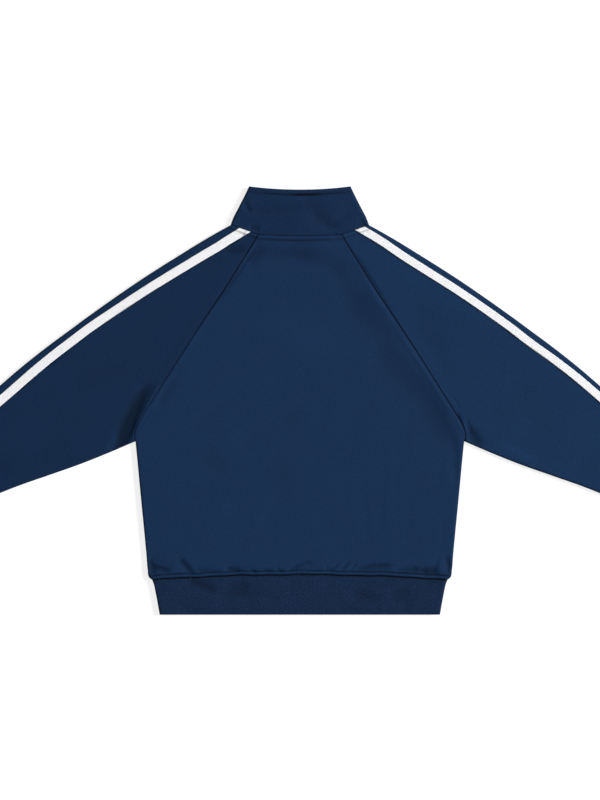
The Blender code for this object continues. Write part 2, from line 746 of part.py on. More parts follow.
def zip_slider():
    """Slider: two plates joined by a post between the chain halves, and a bail under the outer plate."""
    bail_z, outer_z, inner_z = slider_levels()
    plate = outline_plate("zip_slider", [slider_outline()], outer_z, SLIDER_PLATE, JACKET)
    inner = outline_plate("inner_plate", [slider_outline()], inner_z, SLIDER_PLATE, SLIDER_SHAPES)
    half_plate = SLIDER_PLATE / 2
    post_low = (-POST_HALF, SLIDER_Y + POST_SPAN[0], outer_z + half_plate)
    post_high = (POST_HALF, SLIDER_Y + POST_SPAN[1], inner_z + half_plate)
    post = block("post", post_low, post_high, "zip_metal", SLIDER_SHAPES)
    half = BAIL_WIDTH / 2
    ends = (SLIDER_Y - BAIL_LENGTH / 2, SLIDER_Y + BAIL_LENGTH / 2)
    bar_high = (half, ends[1], bail_z + BAIL_DEPTH)
    bar = block("bail_bar", (-half, ends[0], bail_z), bar_high, "zip_metal", SLIDER_SHAPES)
    feet = []
    for number, low_y in enumerate((ends[0], ends[1] - BAIL_FOOT)):
        low = (-half + JOIN_BITE, low_y + JOIN_BITE, bail_z + BAIL_DEPTH / 2)
        high = (half - JOIN_BITE, low_y + BAIL_FOOT - JOIN_BITE, outer_z + half_plate)
        feet.append(block("bail_foot_%d" % number, low, high, "zip_metal", SLIDER_SHAPES))
    return join(plate, [inner, post, bar] + feet)


def tab_axis():
    """Point on the pull tab's hinge, in millimetres."""
    bail_z, outer_z, _ = slider_levels()
    return Vector((0.0, SLIDER_Y, (bail_z + BAIL_DEPTH + outer_z) / 2))


def zip_pull_tab():
    """Pull tab: a plate with a window for the bail, hung from a bar in the bail's eye."""
    axis = tab_axis()
    half = TAB_WIDTH / 2
    window_half = TAB_WINDOW[0] / 2
    bar_half = TAB_DEPTH / 2
    outline = [(half, bar_half), (half, -TAB_SHOULDER), (half - TAB_WAIST[1], -TAB_WAIST[0])]
    outline += [(half - inward, up - TAB_LENGTH) for up, inward in TAB_TIP]
    outline += [(-x, y) for x, y in reversed(outline)]
    window = [(window_half, -bar_half), (-window_half, -bar_half),
              (-window_half, -bar_half - TAB_WINDOW[1]), (window_half, -bar_half - TAB_WINDOW[1])]
    tab = outline_plate("zip_pull_tab", [outline, window], -TAB_DEPTH / 2, TAB_DEPTH, JACKET)
    hinge = bpy.data.objects.new("pull_tab_hinge", None)
    bpy.data.collections[JACKET].objects.link(hinge)
    hinge.location = axis * MM
    tab.parent = hinge
    return tab


def clear_scene():
    for thing in list(bpy.data.objects):
        bpy.data.objects.remove(thing)
    for name in (JACKET, SLIDER_SHAPES):
        collection = bpy.data.collections.new(name)
        bpy.context.scene.collection.children.link(collection)


def main():
    clear_scene()
    back()
    collar()
    hem_band()
    zip_slider()
    zip_box()
    zip_pull_tab()
    for word, side in (("left", -1), ("right", 1)):
        front("front_" + word, side)
        sleeve("sleeve_" + word, side)
        cuff("cuff_" + word, side)
        sleeve_tape("sleeve_tape_" + word, side)
        zip_tape("zip_tape_" + word, side)
        zip_chain("zip_chain_" + word, side)
        zip_stop("zip_stop_" + word, side)


main()
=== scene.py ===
"""Looks of a zip-front track jacket that lies face down: cloth, ribs, tapes, zip, stitching and stage.

The tables are in millimetres along the frame's own axes: X across the jacket, Y up its back and Z up
from the surface it lies on. The back is the upper layer, and the fronts are the lower one.
"""
import math
from collections import namedtuple

import bmesh
import bpy
import numpy as np
from bpy.props import FloatProperty, FloatVectorProperty, PointerProperty
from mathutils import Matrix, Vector


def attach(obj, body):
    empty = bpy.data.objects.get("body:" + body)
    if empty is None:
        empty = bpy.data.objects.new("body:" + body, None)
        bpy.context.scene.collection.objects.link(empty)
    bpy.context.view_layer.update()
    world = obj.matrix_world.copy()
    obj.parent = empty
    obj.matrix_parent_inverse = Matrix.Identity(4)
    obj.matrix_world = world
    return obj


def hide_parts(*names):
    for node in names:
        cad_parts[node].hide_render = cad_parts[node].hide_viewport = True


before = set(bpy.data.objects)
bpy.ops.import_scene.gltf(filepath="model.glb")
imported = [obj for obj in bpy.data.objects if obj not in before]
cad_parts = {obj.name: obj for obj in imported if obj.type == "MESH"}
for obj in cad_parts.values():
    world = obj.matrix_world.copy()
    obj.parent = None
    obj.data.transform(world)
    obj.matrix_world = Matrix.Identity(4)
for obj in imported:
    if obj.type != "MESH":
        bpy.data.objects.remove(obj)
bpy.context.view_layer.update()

bl_info = {
    "name": "Track Jacket",
    "version": (1, 0, 0),
    "blender": (4, 5, 0),
    "location": "View3D > Sidebar > Track Jacket",
    "description": "Cloth, zip and stitching of a track jacket laid face down",
    "category": "Object",
}

MM = 0.001
UPPER, LOWER = 1, -1            # the two layers of the jacket as it lies
LEFT, RIGHT = -1, 1             # sides of the frame: the wearer's left sleeve points to -X
SIDES = (("left", LEFT), ("right", RIGHT))
CLOTH_MAP = "cloth"             # UV map in metres, turned along each piece's grain
PAINTED_SHADE = "painted_shade"               # attribute: painted shade, how much less light reaches a place pressed into the cloth, taken off its colour; below 0 it is painted light

# Walls, and the height of the two layers together
CLOTH = 1.3
DOUBLE_CLOTH = 2.2
SLEEVE_TAPE = 0.8
SLEEVE_TAPE_RAISE = 0.2         # under the tape
ZIP_TAPE = 0.8
CLOTH_STACK = 6.0
BAND_STACK = 6.6
LEAST_STACK = 2.9               # where the upper layer is pressed down onto the lower one
MIDDLE_LIFT = 0.5               # how far the middle between the layers lifts over the slider
ROLL_REACH = 1.2                # how far a folded edge rolls, as a share of half the stack
SEAM_GAP = 0.3
SEAM_INSET = 0.12               # how far a piece stands back from its seam
FOLD_GAP = 0.15                 # half the gap where two edges meet in a fold
EDGE_STEP = 0.45                # rows and columns stand this close at a piece's edges
HEM_REACH = 34.0                # the body's rows close up over this length towards the hem band
SEAM_REACH = 24.0               # and the body's and sleeves' over this length towards their other seams
BAND_ROWS = (2.4, 14.0)         # widest step and reach of the rows of the hem band and the cuffs
COLLAR_ROWS = (2.2, 12.0)       # and of the collar's
ROLL_STOPS = ROLL_REACH * BAND_STACK / 2 * (1.0 - np.cos(np.linspace(0.0, math.pi / 2, 8)))

# Where the stack grows from cloth to band height: the place of its full height, and the ramp's length
HEM_RAMP = (-279.0, 29.0)
NECK_RAMP = (265.0, 30.0)
CUFF_RAMP = (385.0, 35.0)

# The layers lift a little over the zip's slider
SLIDER_Y = 293.0
LIFT_REACH = (98.0, 90.0)       # along X and Y
LIFT_POINT = 0.6                # how far the lift is a plain cone and not a smooth dome
LIFTS = {UPPER: 3.0, LOWER: 1.6}

# Zip, in the same places as the CAD model's
ZIP_EDGE = 6.0                  # from the centre line to the edge of each front
ZIP_TAPE_INNER = 3.4
ZIP_TAPE_OUTER = 15.0
ZIP_TAPE_ROUND = 0.35           # roundness of its edges
ZIP_TAPE_MIDDLE = 0.5           # height of the middle of the tape and of the chain above the tape's underside
CHAIN_WIDTH = 3.0               # one half of the chain
CHAIN_DEPTH = 2.0
CHAIN_GAP = 0.3
COIL_OVERLAP = 0.5              # how far each half's turns reach past the centre line
COIL_TURN = 0.46                # width of a turn as a share of the coil's pitch
CHAIN_BOTTOM = -330.7
CHAIN_TOP = 299.0
CHAIN_PARTS_AT = 289.5
CHAIN_TOP_SPREAD = 1.6
SLIDER_LENGTH = 11.0
SLIDER_REAR_HALF = 4.0
SLIDER_FRONT_HALF = 5.1
SLIDER_REAR_CORNER = 0.8
SLIDER_NOSE_CORNER = 1.2
SLIDER_FLARE = (-1.0, 2.5)      # where the plate widens, from the slider's middle
SLIDER_PLATE = 1.0
SLIDER_CLEAR = 0.2
BAIL_WIDTH = 1.8
BAIL_DEPTH = 0.7
BAIL_LENGTH = 9.0
BAIL_FOOT = 1.0
BAIL_JOIN = 0.4                 # how far its feet run into the plate
POST_HALF = 0.7
POST_SPAN = (2.2, 5.0)          # from the slider's middle
RIM_WIDTH = 0.45
RIM_INSET = 1.0                 # from the slider's rear end
RIM_HEIGHT = 0.55               # how far a rim reaches past the plate's clearance
JOIN = 0.5                      # how far joined shapes run into each other
HAIR = 0.01                     # keeps joined shapes from sharing a face, and finds faces at a place
TAB_LENGTH = 30.0
TAB_WIDTH = 6.0
TAB_DEPTH = 1.2
TAB_SHOULDER = 9.0              # down the tab from the hinge
TAB_WAIST = (13.0, 0.7)         # down the tab, and how much each side is drawn in
TAB_TIP = 1.9                   # radius of the corners at its end
TAB_WINDOW = (2.8, 4.6)         # width and length of the window that the bail passes through
TAB_PANEL = (0.7, 0.25)         # rim round the sunk panel, and how deep it is sunk
STOP_LENGTH = 2.7
STOP_EDGE = 0.35                # bevel on the stops
BOX_LENGTH = 10.0
BOX_GROOVE = (2.6, 3.2, 0.25)   # round the box: down from its top, from and to, and its depth
BOX_SLOT = (0.25, 2.0, 0.4)     # up its middle: half width, height of its end and depth
ZipRow = namedtuple("ZipRow", "y wall")
ZIP_WALLS = [
    ZipRow(-341.4, DOUBLE_CLOTH),
    ZipRow(-277.0, DOUBLE_CLOTH),
    ZipRow(-264.0, CLOTH),
    ZipRow(208.0, CLOTH),
    ZipRow(221.0, DOUBLE_CLOTH),
    ZipRow(304.6, DOUBLE_CLOTH),
]

# Finishes and stage, in metres
BODY_SPECKLE = 0.43             # how much the fine speckle darkens and lightens the knit
COLLAR_SPECKLE = 0.68
KNIT_CLOUDS = 0.12              # how much its broad clouds do
SPECKLE_SIZE = 0.0023
UNDER_JACKET = (0.20, 0.30)     # half width and half length of an oval wholly under the body
FLOOR_WIDTH = 40.0              # wide enough to reach past a low view
FLOOR_DROP = 0.0003             # below the jacket, so that they share no face
CAMERA_PLACE = (0.0003, 0.0011, 3.029)

# Neck, collar and hem
NECK_BACK_MID = 263.8
NECK_FRONT_MID = 225.0
NECK_FRONT_BEND = 2.2
NECK_BEND_RAMP = (80.8, 100.0)  # Y where the fronts' rows begin to bend, and the length over which they do
ROW_BEND = 2.0                  # power of the curve that every other row follows to its side
COLLAR_TOPS = {UPPER: 337.8, LOWER: 305.0}
COLLAR_CORNER = 343.2
HEM_BOTTOM = -342.6

# Sleeves: below the armpit each runs straight, 30 degrees down
SLEEVE_ANGLE = math.radians(-30.0)
SLEEVE_ACROSS = SLEEVE_ANGLE + math.pi / 2      # turns a sleeve's grain down the arm
CUFF_SEAM = 390.0
CUFF_END = 450.0

# Raglan seams and shoulder fold, from the neck to the armpit
RAGLAN_COLUMNS = "back_x back_y front_x front_y zip_y fold_x fold_y"
RaglanRow = namedtuple("RaglanRow", RAGLAN_COLUMNS)
RAGLAN = [
    RaglanRow(66.4, 265.9, 85.0, 256.1, 225.0, 110.6, 281.5),
    RaglanRow(96.8, 216.8, 102.0, 216.8, 195.0, 136.2, 267.2),
    RaglanRow(126.2, 170.4, 124.0, 170.4, 160.0, 164.2, 250.8),
    RaglanRow(153.6, 129.6, 147.0, 129.6, 125.0, 192.2, 233.4),
    RaglanRow(185.6, 80.8, 176.0, 80.8, 80.8, 224.2, 213.4),
    RaglanRow(214.6, 34.7, 205.0, 34.7, 34.7, 256.2, 192.7),
    RaglanRow(235.0, 2.6, 226.0, 2.6, 2.6, 284.2, 173.7),
    RaglanRow(249.2, -20.3, 243.0, -20.3, -20.3, 308.2, 156.9),
    RaglanRow(261.6, -41.8, 257.5, -41.8, -41.8, 332.2, 139.8),
    RaglanRow(265.4, -57.1, 264.0, -57.1, -57.1, 350.2, 126.8),
    RaglanRow(263.3, -65.1, 263.3, -65.1, -65.1, 365.2, 115.6),
]

# Body and hem band from the hem up: Y at the centre, Y and half width at the side fold
BodyRow = namedtuple("BodyRow", "mid_y side_y side_x")
BODY = [
    BodyRow(-279.0, -286.8, 236.9),
    BodyRow(-274.5, -283.2, 241.2),
    BodyRow(-264.0, -270.0, 243.8),
    BodyRow(-248.8, -248.8, 245.6),
    BodyRow(-210.4, -210.4, 249.2),
    BodyRow(-172.0, -172.0, 253.0),
    BodyRow(-133.6, -133.6, 256.7),
    BodyRow(-95.2, -95.2, 260.3),
    BodyRow(-65.1, -65.1, 263.3),
]
HEM = [
    BodyRow(HEM_BOTTOM, HEM_BOTTOM, 224.5),
    BodyRow(-306.4, -306.4, 231.2),
    BodyRow(-289.0, -294.0, 233.9),
    BodyRow(-279.4, -287.2, 236.5),
]

# Side fold of the collar, from the neck seam up
CollarRow = namedtuple("CollarRow", "side_y side_x")
COLLAR = [
    CollarRow(281.3, 110.9),
    CollarRow(292.0, 107.0),
    CollarRow(308.0, 98.8),
    CollarRow(320.0, 92.7),
    CollarRow(332.0, 86.6),
    CollarRow(COLLAR_CORNER, 81.4),
]

# Half width of the sleeve and of the cuff along the arm
ArmRow = namedtuple("ArmRow", "along half")
SLEEVE_ARM = [
    ArmRow(50.0, 97.9),
    ArmRow(100.0, 90.5),
    ArmRow(150.0, 81.1),
    ArmRow(200.0, 71.7),
    ArmRow(250.0, 64.4),
    ArmRow(300.0, 58.9),
    ArmRow(345.0, 54.7),
    ArmRow(380.0, 52.0),
    ArmRow(CUFF_SEAM, 47.5),
]
CUFF = [
    ArmRow(CUFF_SEAM + SEAM_GAP, 47.1),
    ArmRow(397.0, 44.1),
    ArmRow(CUFF_END, 43.0),
]

# White tape on each sleeve, from the neck down: how far along the top fold, and how far the tape lies from
# the fold there on the left and on the right
TapeRow = namedtuple("TapeRow", "along left right")
TAPE = [
    TapeRow(0.0, 11.3, 5.8),
    TapeRow(38.0, 13.7, 7.4),
    TapeRow(60.0, 13.6, 9.0),
    TapeRow(115.0, 12.9, 9.9),
    TapeRow(210.0, 11.3, 9.2),
    TapeRow(290.0, 9.4, 9.3),
    TapeRow(326.0, 9.9, 10.2),
    TapeRow(363.0, 10.5, 9.2),
    TapeRow(431.0, 11.9, 7.8),
    TapeRow(540.0, 11.3, 8.4),
    TapeRow(700.0, 10.9, 8.8),
]
TAPE_WIDTHS = {LEFT: 14.0, RIGHT: 12.4}
TAPE_ROUND = 0.4                # roundness of its edges
TAPE_SLANT = 16.0               # how far down from the neck its rows are slanted

# Creases: soft troughs, or ridges where the depth is negative, from (x0, y0) to (x1, y1). bow is how far
# the middle swings to the right of that way, and left and right are the half widths on each side of it.
Crease = namedtuple("Crease", "layer x0 y0 x1 y1 bow left right depth")
CREASES = [
    # left armpit: the sleeve sinks beside the seam, and the seam stands up on it
    Crease(UPPER, -238.0, 32.0, -292.0, -100.0, 7.0, 9.0, 11.0, 3.1),
    Crease(UPPER, -268.0, -28.0, -281.0, -66.0, 0.0, 7.0, 9.0, 1.8),
    Crease(UPPER, -256.0, -6.0, -302.0, -80.0, 4.0, 8.0, 20.0, 0.8),
    Crease(UPPER, -222.0, 34.0, -262.0, -40.0, 0.0, 3.0, 2.4, -0.6),
    Crease(UPPER, -296.0, -50.0, -312.0, -86.0, 0.0, 7.0, 12.0, -0.9),
    Crease(UPPER, -144.8, 136.0, -215.7, 26.0, 0.0, 3.0, 3.0, -0.3),
    Crease(UPPER, -70.0, 246.0, -136.0, 156.0, 0.0, 4.0, 4.0, 0.9),
    Crease(UPPER, -166.0, 142.0, -224.0, 46.0, 0.0, 8.0, 8.0, 0.4),
    Crease(UPPER, -200.0, 38.0, -228.0, -8.0, 0.0, 9.0, 6.0, 0.7),
    Crease(UPPER, -160.0, 96.0, -142.0, 110.0, 0.0, 10.0, 10.0, 0.3),
    # right armpit: the body sinks in a long valley beside the seam, with small creases on the sleeve
    Crease(UPPER, 76.0, 188.0, 155.0, 84.0, 0.0, 13.0, 38.0, 0.88),
    Crease(UPPER, 52.0, 210.0, 104.0, 130.0, 0.0, 16.0, 16.0, 0.4),
    Crease(UPPER, 130.0, 92.0, 194.0, 18.0, 0.0, 15.0, 40.0, 0.9),
    Crease(UPPER, 246.0, -46.0, 250.0, -140.0, 0.0, 6.0, 8.0, 0.6),
    Crease(UPPER, 184.0, 36.0, 248.0, -80.0, -5.0, 10.0, 30.0, 1.2),
    Crease(UPPER, 98.0, 204.0, 152.0, 120.0, 0.0, 4.0, 7.0, -0.6),
    Crease(UPPER, 150.0, 122.0, 252.0, -34.0, -1.0, 3.0, 4.0, -0.6),
    Crease(UPPER, 80.0, 246.0, 150.0, 136.0, 0.0, 3.0, 3.0, 0.9),
    Crease(UPPER, 243.0, 9.0, 256.0, -12.0, 0.0, 1.6, 2.0, 0.6),
    Crease(UPPER, 250.0, -17.0, 262.0, -42.0, 0.5, 2.4, 2.0, 1.2),
    Crease(UPPER, 267.0, -28.0, 275.0, -54.0, 0.0, 3.0, 5.0, 1.0),
    Crease(UPPER, 270.0, -42.0, 289.0, -82.0, 0.0, 9.0, 10.0, 2.1),
    Crease(UPPER, 268.0, -50.0, 272.0, -62.0, 0.0, 1.4, 1.4, -0.5),
    Crease(UPPER, 312.0, -70.0, 384.0, -101.0, 0.0, 8.0, 9.0, -0.6),
    Crease(UPPER, 184.0, 172.0, 216.0, 80.0, 0.0, 26.0, 28.0, 0.6),
    Crease(UPPER, 214.0, 106.0, 240.0, 28.0, 0.0, 20.0, 18.0, 0.65),
    Crease(UPPER, 126.0, 224.0, 300.0, 120.0, 0.0, 11.0, 11.0, -0.22),
    Crease(UPPER, -122.0, 228.0, -262.0, 146.0, 0.0, 11.0, 11.0, -0.22),
    Crease(UPPER, 296.0, 0.0, 344.0, -34.0, 0.0, 24.0, 24.0, 0.4),
    # faint upright folds on the right of the body
    Crease(UPPER, 103.0, -136.0, 112.0, -242.0, 0.0, 5.0, 7.0, 0.25),
    Crease(UPPER, 134.0, -150.0, 128.0, -226.0, 0.0, 4.0, 8.0, 0.15),
    Crease(UPPER, 178.0, -150.0, 169.0, -238.0, 0.0, 7.0, 8.0, 0.22),
    Crease(UPPER, 153.0, -28.0, 138.0, -200.0, 0.0, 9.0, 9.0, -0.2),
    Crease(UPPER, 172.0, -16.0, 172.0, -110.0, 0.0, 7.0, 7.0, 0.15),
    Crease(UPPER, 213.0, -80.0, 211.0, -134.0, 0.0, 8.0, 8.0, -0.2),
    Crease(UPPER, 231.0, -188.0, 226.0, -242.0, 0.0, 4.0, 5.0, 0.25),
    # left and middle of the body
    Crease(UPPER, -164.0, -86.0, -118.0, -118.0, 0.0, 21.0, 21.0, 0.65),
    Crease(UPPER, -180.0, -58.0, -106.0, -2.0, -6.0, 12.0, 14.0, 0.5),
    Crease(UPPER, -186.0, -156.0, -136.0, -148.0, 0.0, 9.0, 9.0, 0.4),
    Crease(UPPER, -30.0, -42.0, 0.0, -10.0, 0.0, 19.0, 21.0, 0.55),
    Crease(UPPER, -112.0, -80.0, -20.0, -30.0, 0.0, 12.0, 14.0, 0.4),
    Crease(UPPER, -38.0, -86.0, -20.0, -184.0, 0.0, 24.0, 24.0, 0.45),
    Crease(UPPER, -76.0, -106.0, -46.0, -120.0, 0.0, 11.0, 11.0, 0.3),
    Crease(UPPER, -16.0, -177.0, 14.0, -180.0, 1.0, 1.6, 1.6, 0.2),
    Crease(UPPER, -84.0, -212.0, -97.0, -240.0, 0.0, 9.0, 9.0, 0.3),
    Crease(UPPER, -138.0, -78.0, -84.0, -50.0, 0.0, 10.0, 10.0, -0.25),
    Crease(UPPER, -134.0, -186.0, -104.0, -164.0, 0.0, 13.0, 13.0, -0.25),
    Crease(UPPER, -60.0, 132.0, 70.0, 72.0, 0.0, 26.0, 24.0, -0.4),
    Crease(UPPER, -78.0, -196.0, -54.0, -190.0, 0.0, 12.0, 12.0, -0.2),
    # under the neck
    Crease(UPPER, -24.0, 252.0, 96.0, 200.0, 0.0, 18.0, 20.0, 0.85),
    Crease(UPPER, -60.0, 248.0, -84.0, 216.0, 0.0, 9.0, 11.0, 1.2),
    Crease(UPPER, -70.0, 243.0, 26.0, 231.0, 0.0, 10.0, 13.0, 0.85),
    Crease(UPPER, -124.0, 239.0, -86.0, 243.0, 0.0, 8.0, 9.0, 1.5),
    Crease(UPPER, -118.0, 238.0, -158.0, 202.0, 0.0, 13.0, 15.0, 0.5),
    # above the hem
    Crease(UPPER, -242.0, -264.0, -208.0, -274.0, -1.0, 4.0, 5.0, 2.0),
    Crease(UPPER, -250.0, -246.0, -196.0, -266.0, 0.0, 13.0, 11.0, 0.5),
    Crease(UPPER, -246.0, -252.0, -232.0, -280.0, 0.0, 6.0, 6.0, 1.7),
    Crease(UPPER, -194.0, -251.0, -169.0, -278.0, 1.0, 4.0, 7.0, 2.0),
    Crease(UPPER, -172.0, -271.0, -126.0, -275.0, 0.0, 5.0, 5.0, 1.3),
    Crease(UPPER, -120.0, -270.0, -95.0, -272.0, -1.0, 4.0, 5.0, 1.9),
    Crease(UPPER, -82.0, -271.0, -70.0, -273.0, 0.0, 3.0, 3.4, 1.0),
    Crease(UPPER, -61.0, -271.0, -45.0, -273.0, 0.0, 3.0, 3.4, 1.1),
    Crease(UPPER, -39.0, -269.0, -27.0, -274.0, 0.0, 3.0, 3.6, 1.3),
    Crease(UPPER, -20.0, -274.0, 2.0, -262.0, -1.0, 4.0, 4.0, 1.2),
    Crease(UPPER, -2.0, -262.0, 20.0, -262.0, -2.0, 4.0, 3.6, 1.0),
    Crease(UPPER, 40.0, -268.0, 52.0, -273.0, 0.0, 3.0, 3.0, 0.9),
    Crease(UPPER, 63.0, -260.0, 48.0, -272.0, -1.0, 1.8, 2.6, 1.0),
    Crease(UPPER, 79.0, -258.0, 63.0, -272.0, -1.0, 1.8, 2.8, 1.2),
    Crease(UPPER, 91.0, -260.0, 79.0, -273.0, 0.0, 1.8, 2.4, 1.0),
    Crease(UPPER, 86.0, -271.0, 144.0, -265.0, -3.0, 4.0, 6.0, 1.9),
    Crease(UPPER, 124.0, -265.0, 150.0, -262.0, 0.0, 3.4, 3.4, 0.7),
    Crease(UPPER, 152.0, -272.0, 192.0, -270.0, 0.0, 5.0, 6.0, 1.5),
    Crease(UPPER, 178.0, -270.0, 206.0, -276.0, 0.0, 5.0, 5.0, 1.2),
    Crease(UPPER, 192.0, -271.0, 222.0, -276.0, 0.0, 7.0, 6.0, 1.9),
    Crease(UPPER, 232.0, -246.0, 243.0, -278.0, 0.0, 6.0, 6.0, 1.5),
    Crease(UPPER, 224.0, -252.0, 212.0, -273.0, 0.0, 4.0, 5.0, 0.8),
    # hem band
    Crease(UPPER, -184.0, -284.0, -134.0, -304.0, 0.0, 7.0, 9.0, 1.7),
    Crease(UPPER, -120.0, -296.0, -119.0, -342.0, 0.0, 12.0, 12.0, 0.4),
    Crease(UPPER, -98.0, -282.0, -84.0, -302.0, 0.0, 10.0, 10.0, 0.9),
    Crease(UPPER, -124.0, -298.0, -66.0, -316.0, 0.0, 12.0, 13.0, 1.1),
    Crease(UPPER, -74.0, -304.0, -36.0, -316.0, 0.0, 9.0, 10.0, 0.8),
    Crease(UPPER, -210.0, -320.0, -172.0, -330.0, 0.0, 12.0, 12.0, 0.4),
    Crease(UPPER, -16.0, -284.0, -12.0, -308.0, 0.0, 9.0, 10.0, 0.4),
    Crease(UPPER, 12.0, -290.0, 44.0, -294.0, 0.0, 12.0, 12.0, -0.6),
    Crease(UPPER, 80.0, -308.0, 134.0, -318.0, 0.0, 10.0, 12.0, 1.3),
    Crease(UPPER, 142.0, -314.0, 178.0, -304.0, 0.0, 10.0, 12.0, 1.2),
    Crease(UPPER, 172.0, -316.0, 165.0, -344.0, 0.0, 7.0, 8.0, 0.65),
    Crease(UPPER, 56.0, -322.0, 96.0, -336.0, 0.0, 12.0, 12.0, 0.6),
    Crease(UPPER, 196.0, -294.0, 226.0, -288.0, 0.0, 8.0, 8.0, 0.8),
    # collar
    Crease(UPPER, -90.0, 324.0, -79.0, 300.0, 0.0, 3.0, 5.0, 1.3),
    Crease(UPPER, -84.0, 312.0, -30.0, 312.0, 8.0, 8.0, 9.0, 0.8),
    Crease(UPPER, -44.0, 300.0, 8.0, 310.0, -3.0, 7.0, 8.0, 0.9),
    Crease(UPPER, 6.0, 328.0, 46.0, 284.0, 0.0, 16.0, 16.0, 1.1),
    Crease(UPPER, 36.0, 284.0, 64.0, 277.0, 0.0, 8.0, 7.0, 0.7),
    Crease(UPPER, 20.0, 300.0, 58.0, 270.0, 0.0, 12.0, 12.0, 0.5),
    Crease(UPPER, -82.0, 277.0, -64.0, 275.0, 0.0, 5.0, 5.0, 1.4),
    Crease(UPPER, 92.0, 289.0, 108.0, 281.0, 0.0, 6.0, 7.0, 1.1),
    Crease(UPPER, 52.0, 276.0, 84.0, 306.0, 0.0, 9.0, 12.0, 0.5),
    Crease(UPPER, 50.0, 267.0, 60.0, 266.0, 0.0, 2.4, 2.4, 0.8),
    # fronts
    Crease(LOWER, -232.0, 14.0, -272.0, -66.0, -4.0, 7.0, 15.0, 2.2),
    Crease(LOWER, 228.0, 16.0, 272.0, -60.0, 4.0, 15.0, 7.0, 2.0),
    Crease(LOWER, -190.0, 96.0, -150.0, 20.0, 0.0, 12.0, 18.0, 0.8),
    Crease(LOWER, 176.0, 70.0, 132.0, -20.0, 3.0, 14.0, 12.0, 0.8),
    Crease(LOWER, -205.0, -250.0, -188.0, -276.0, 0.0, 3.0, 4.0, 1.4),
    Crease(LOWER, -140.0, -258.0, -128.0, -275.0, 0.0, 2.2, 3.0, 0.9),
    Crease(LOWER, -76.0, -262.0, -64.0, -274.0, 0.0, 3.0, 2.4, 0.7),
    Crease(LOWER, 58.0, -260.0, 70.0, -275.0, 0.0, 2.6, 3.4, 0.9),
    Crease(LOWER, 124.0, -256.0, 110.0, -275.0, 0.0, 2.4, 2.8, 0.8),
    Crease(LOWER, 196.0, -254.0, 210.0, -277.0, 0.0, 3.4, 3.0, 1.3),
    Crease(LOWER, 44.0, 150.0, 96.0, 96.0, 6.0, 14.0, 12.0, 0.7),
    Crease(LOWER, -36.0, 60.0, -86.0, 0.0, 4.0, 12.0, 14.0, 0.6),
]

# Creases down the arms, along and across the sleeve from its middle line
ArmCrease = namedtuple("ArmCrease", "side layer along0 across0 along1 across1 left right depth")
ARM_CREASES = [
    ArmCrease(LEFT, UPPER, -60.0, 10.0, 60.0, 26.0, 20.0, 26.0, 0.6),
    ArmCrease(LEFT, UPPER, 96.0, -50.0, 146.0, -34.0, 20.0, 22.0, 0.45),
    ArmCrease(LEFT, UPPER, 74.0, 46.0, 104.0, 28.0, 16.0, 22.0, 0.4),
    ArmCrease(LEFT, UPPER, 190.0, -44.0, 226.0, -8.0, 18.0, 20.0, 0.8),
    ArmCrease(LEFT, UPPER, 236.0, 62.0, 292.0, 4.0, 8.0, 11.0, 1.1),
    ArmCrease(LEFT, UPPER, 280.0, -56.0, 322.0, 2.0, 9.0, 6.0, 1.0),
    ArmCrease(LEFT, UPPER, 356.0, 30.0, 389.0, 24.0, 3.0, 4.0, 1.4),
    ArmCrease(LEFT, UPPER, 366.0, 4.0, 389.0, 6.0, 2.6, 2.2, 1.1),
    ArmCrease(LEFT, UPPER, 352.0, -24.0, 389.0, -18.0, 4.0, 3.0, 1.5),
    ArmCrease(LEFT, LOWER, 180.0, 40.0, 240.0, -20.0, 9.0, 9.0, 1.0),
    ArmCrease(LEFT, LOWER, 358.0, 22.0, 389.0, 18.0, 3.0, 4.0, 1.4),
    ArmCrease(LEFT, LOWER, 350.0, -14.0, 389.0, -20.0, 4.0, 3.0, 1.3),
    ArmCrease(RIGHT, UPPER, 20.0, 24.0, 110.0, -30.0, 22.0, 26.0, 0.6),
    ArmCrease(RIGHT, UPPER, 170.0, -44.0, 204.0, -36.0, 16.0, 18.0, 0.45),
    ArmCrease(RIGHT, UPPER, 246.0, -58.0, 300.0, -6.0, 8.0, 10.0, 1.1),
    ArmCrease(RIGHT, UPPER, 300.0, 52.0, 338.0, 10.0, 7.0, 8.0, 0.9),
    ArmCrease(RIGHT, UPPER, 354.0, 27.0, 389.0, 21.0, 3.6, 3.0, 1.5),
    ArmCrease(RIGHT, UPPER, 368.0, -2.0, 389.0, -4.0, 2.4, 2.8, 1.0),
    ArmCrease(RIGHT, UPPER, 360.0, -30.0, 389.0, -24.0, 3.0, 3.6, 1.4),
    ArmCrease(RIGHT, LOWER, 196.0, -44.0, 250.0, 14.0, 9.0, 8.0, 1.0),
    ArmCrease(RIGHT, LOWER, 356.0, 16.0, 389.0, 20.0, 3.4, 3.0, 1.4),
    ArmCrease(RIGHT, LOWER, 362.0, -22.0, 389.0, -16.0, 3.0, 3.6, 1.2),
]
CREASE_FADE = 7.0               # creases fade this near a folded edge
CREASE_ENDS = 0.44              # how far a crease keeps its depth from its middle, as a share of it

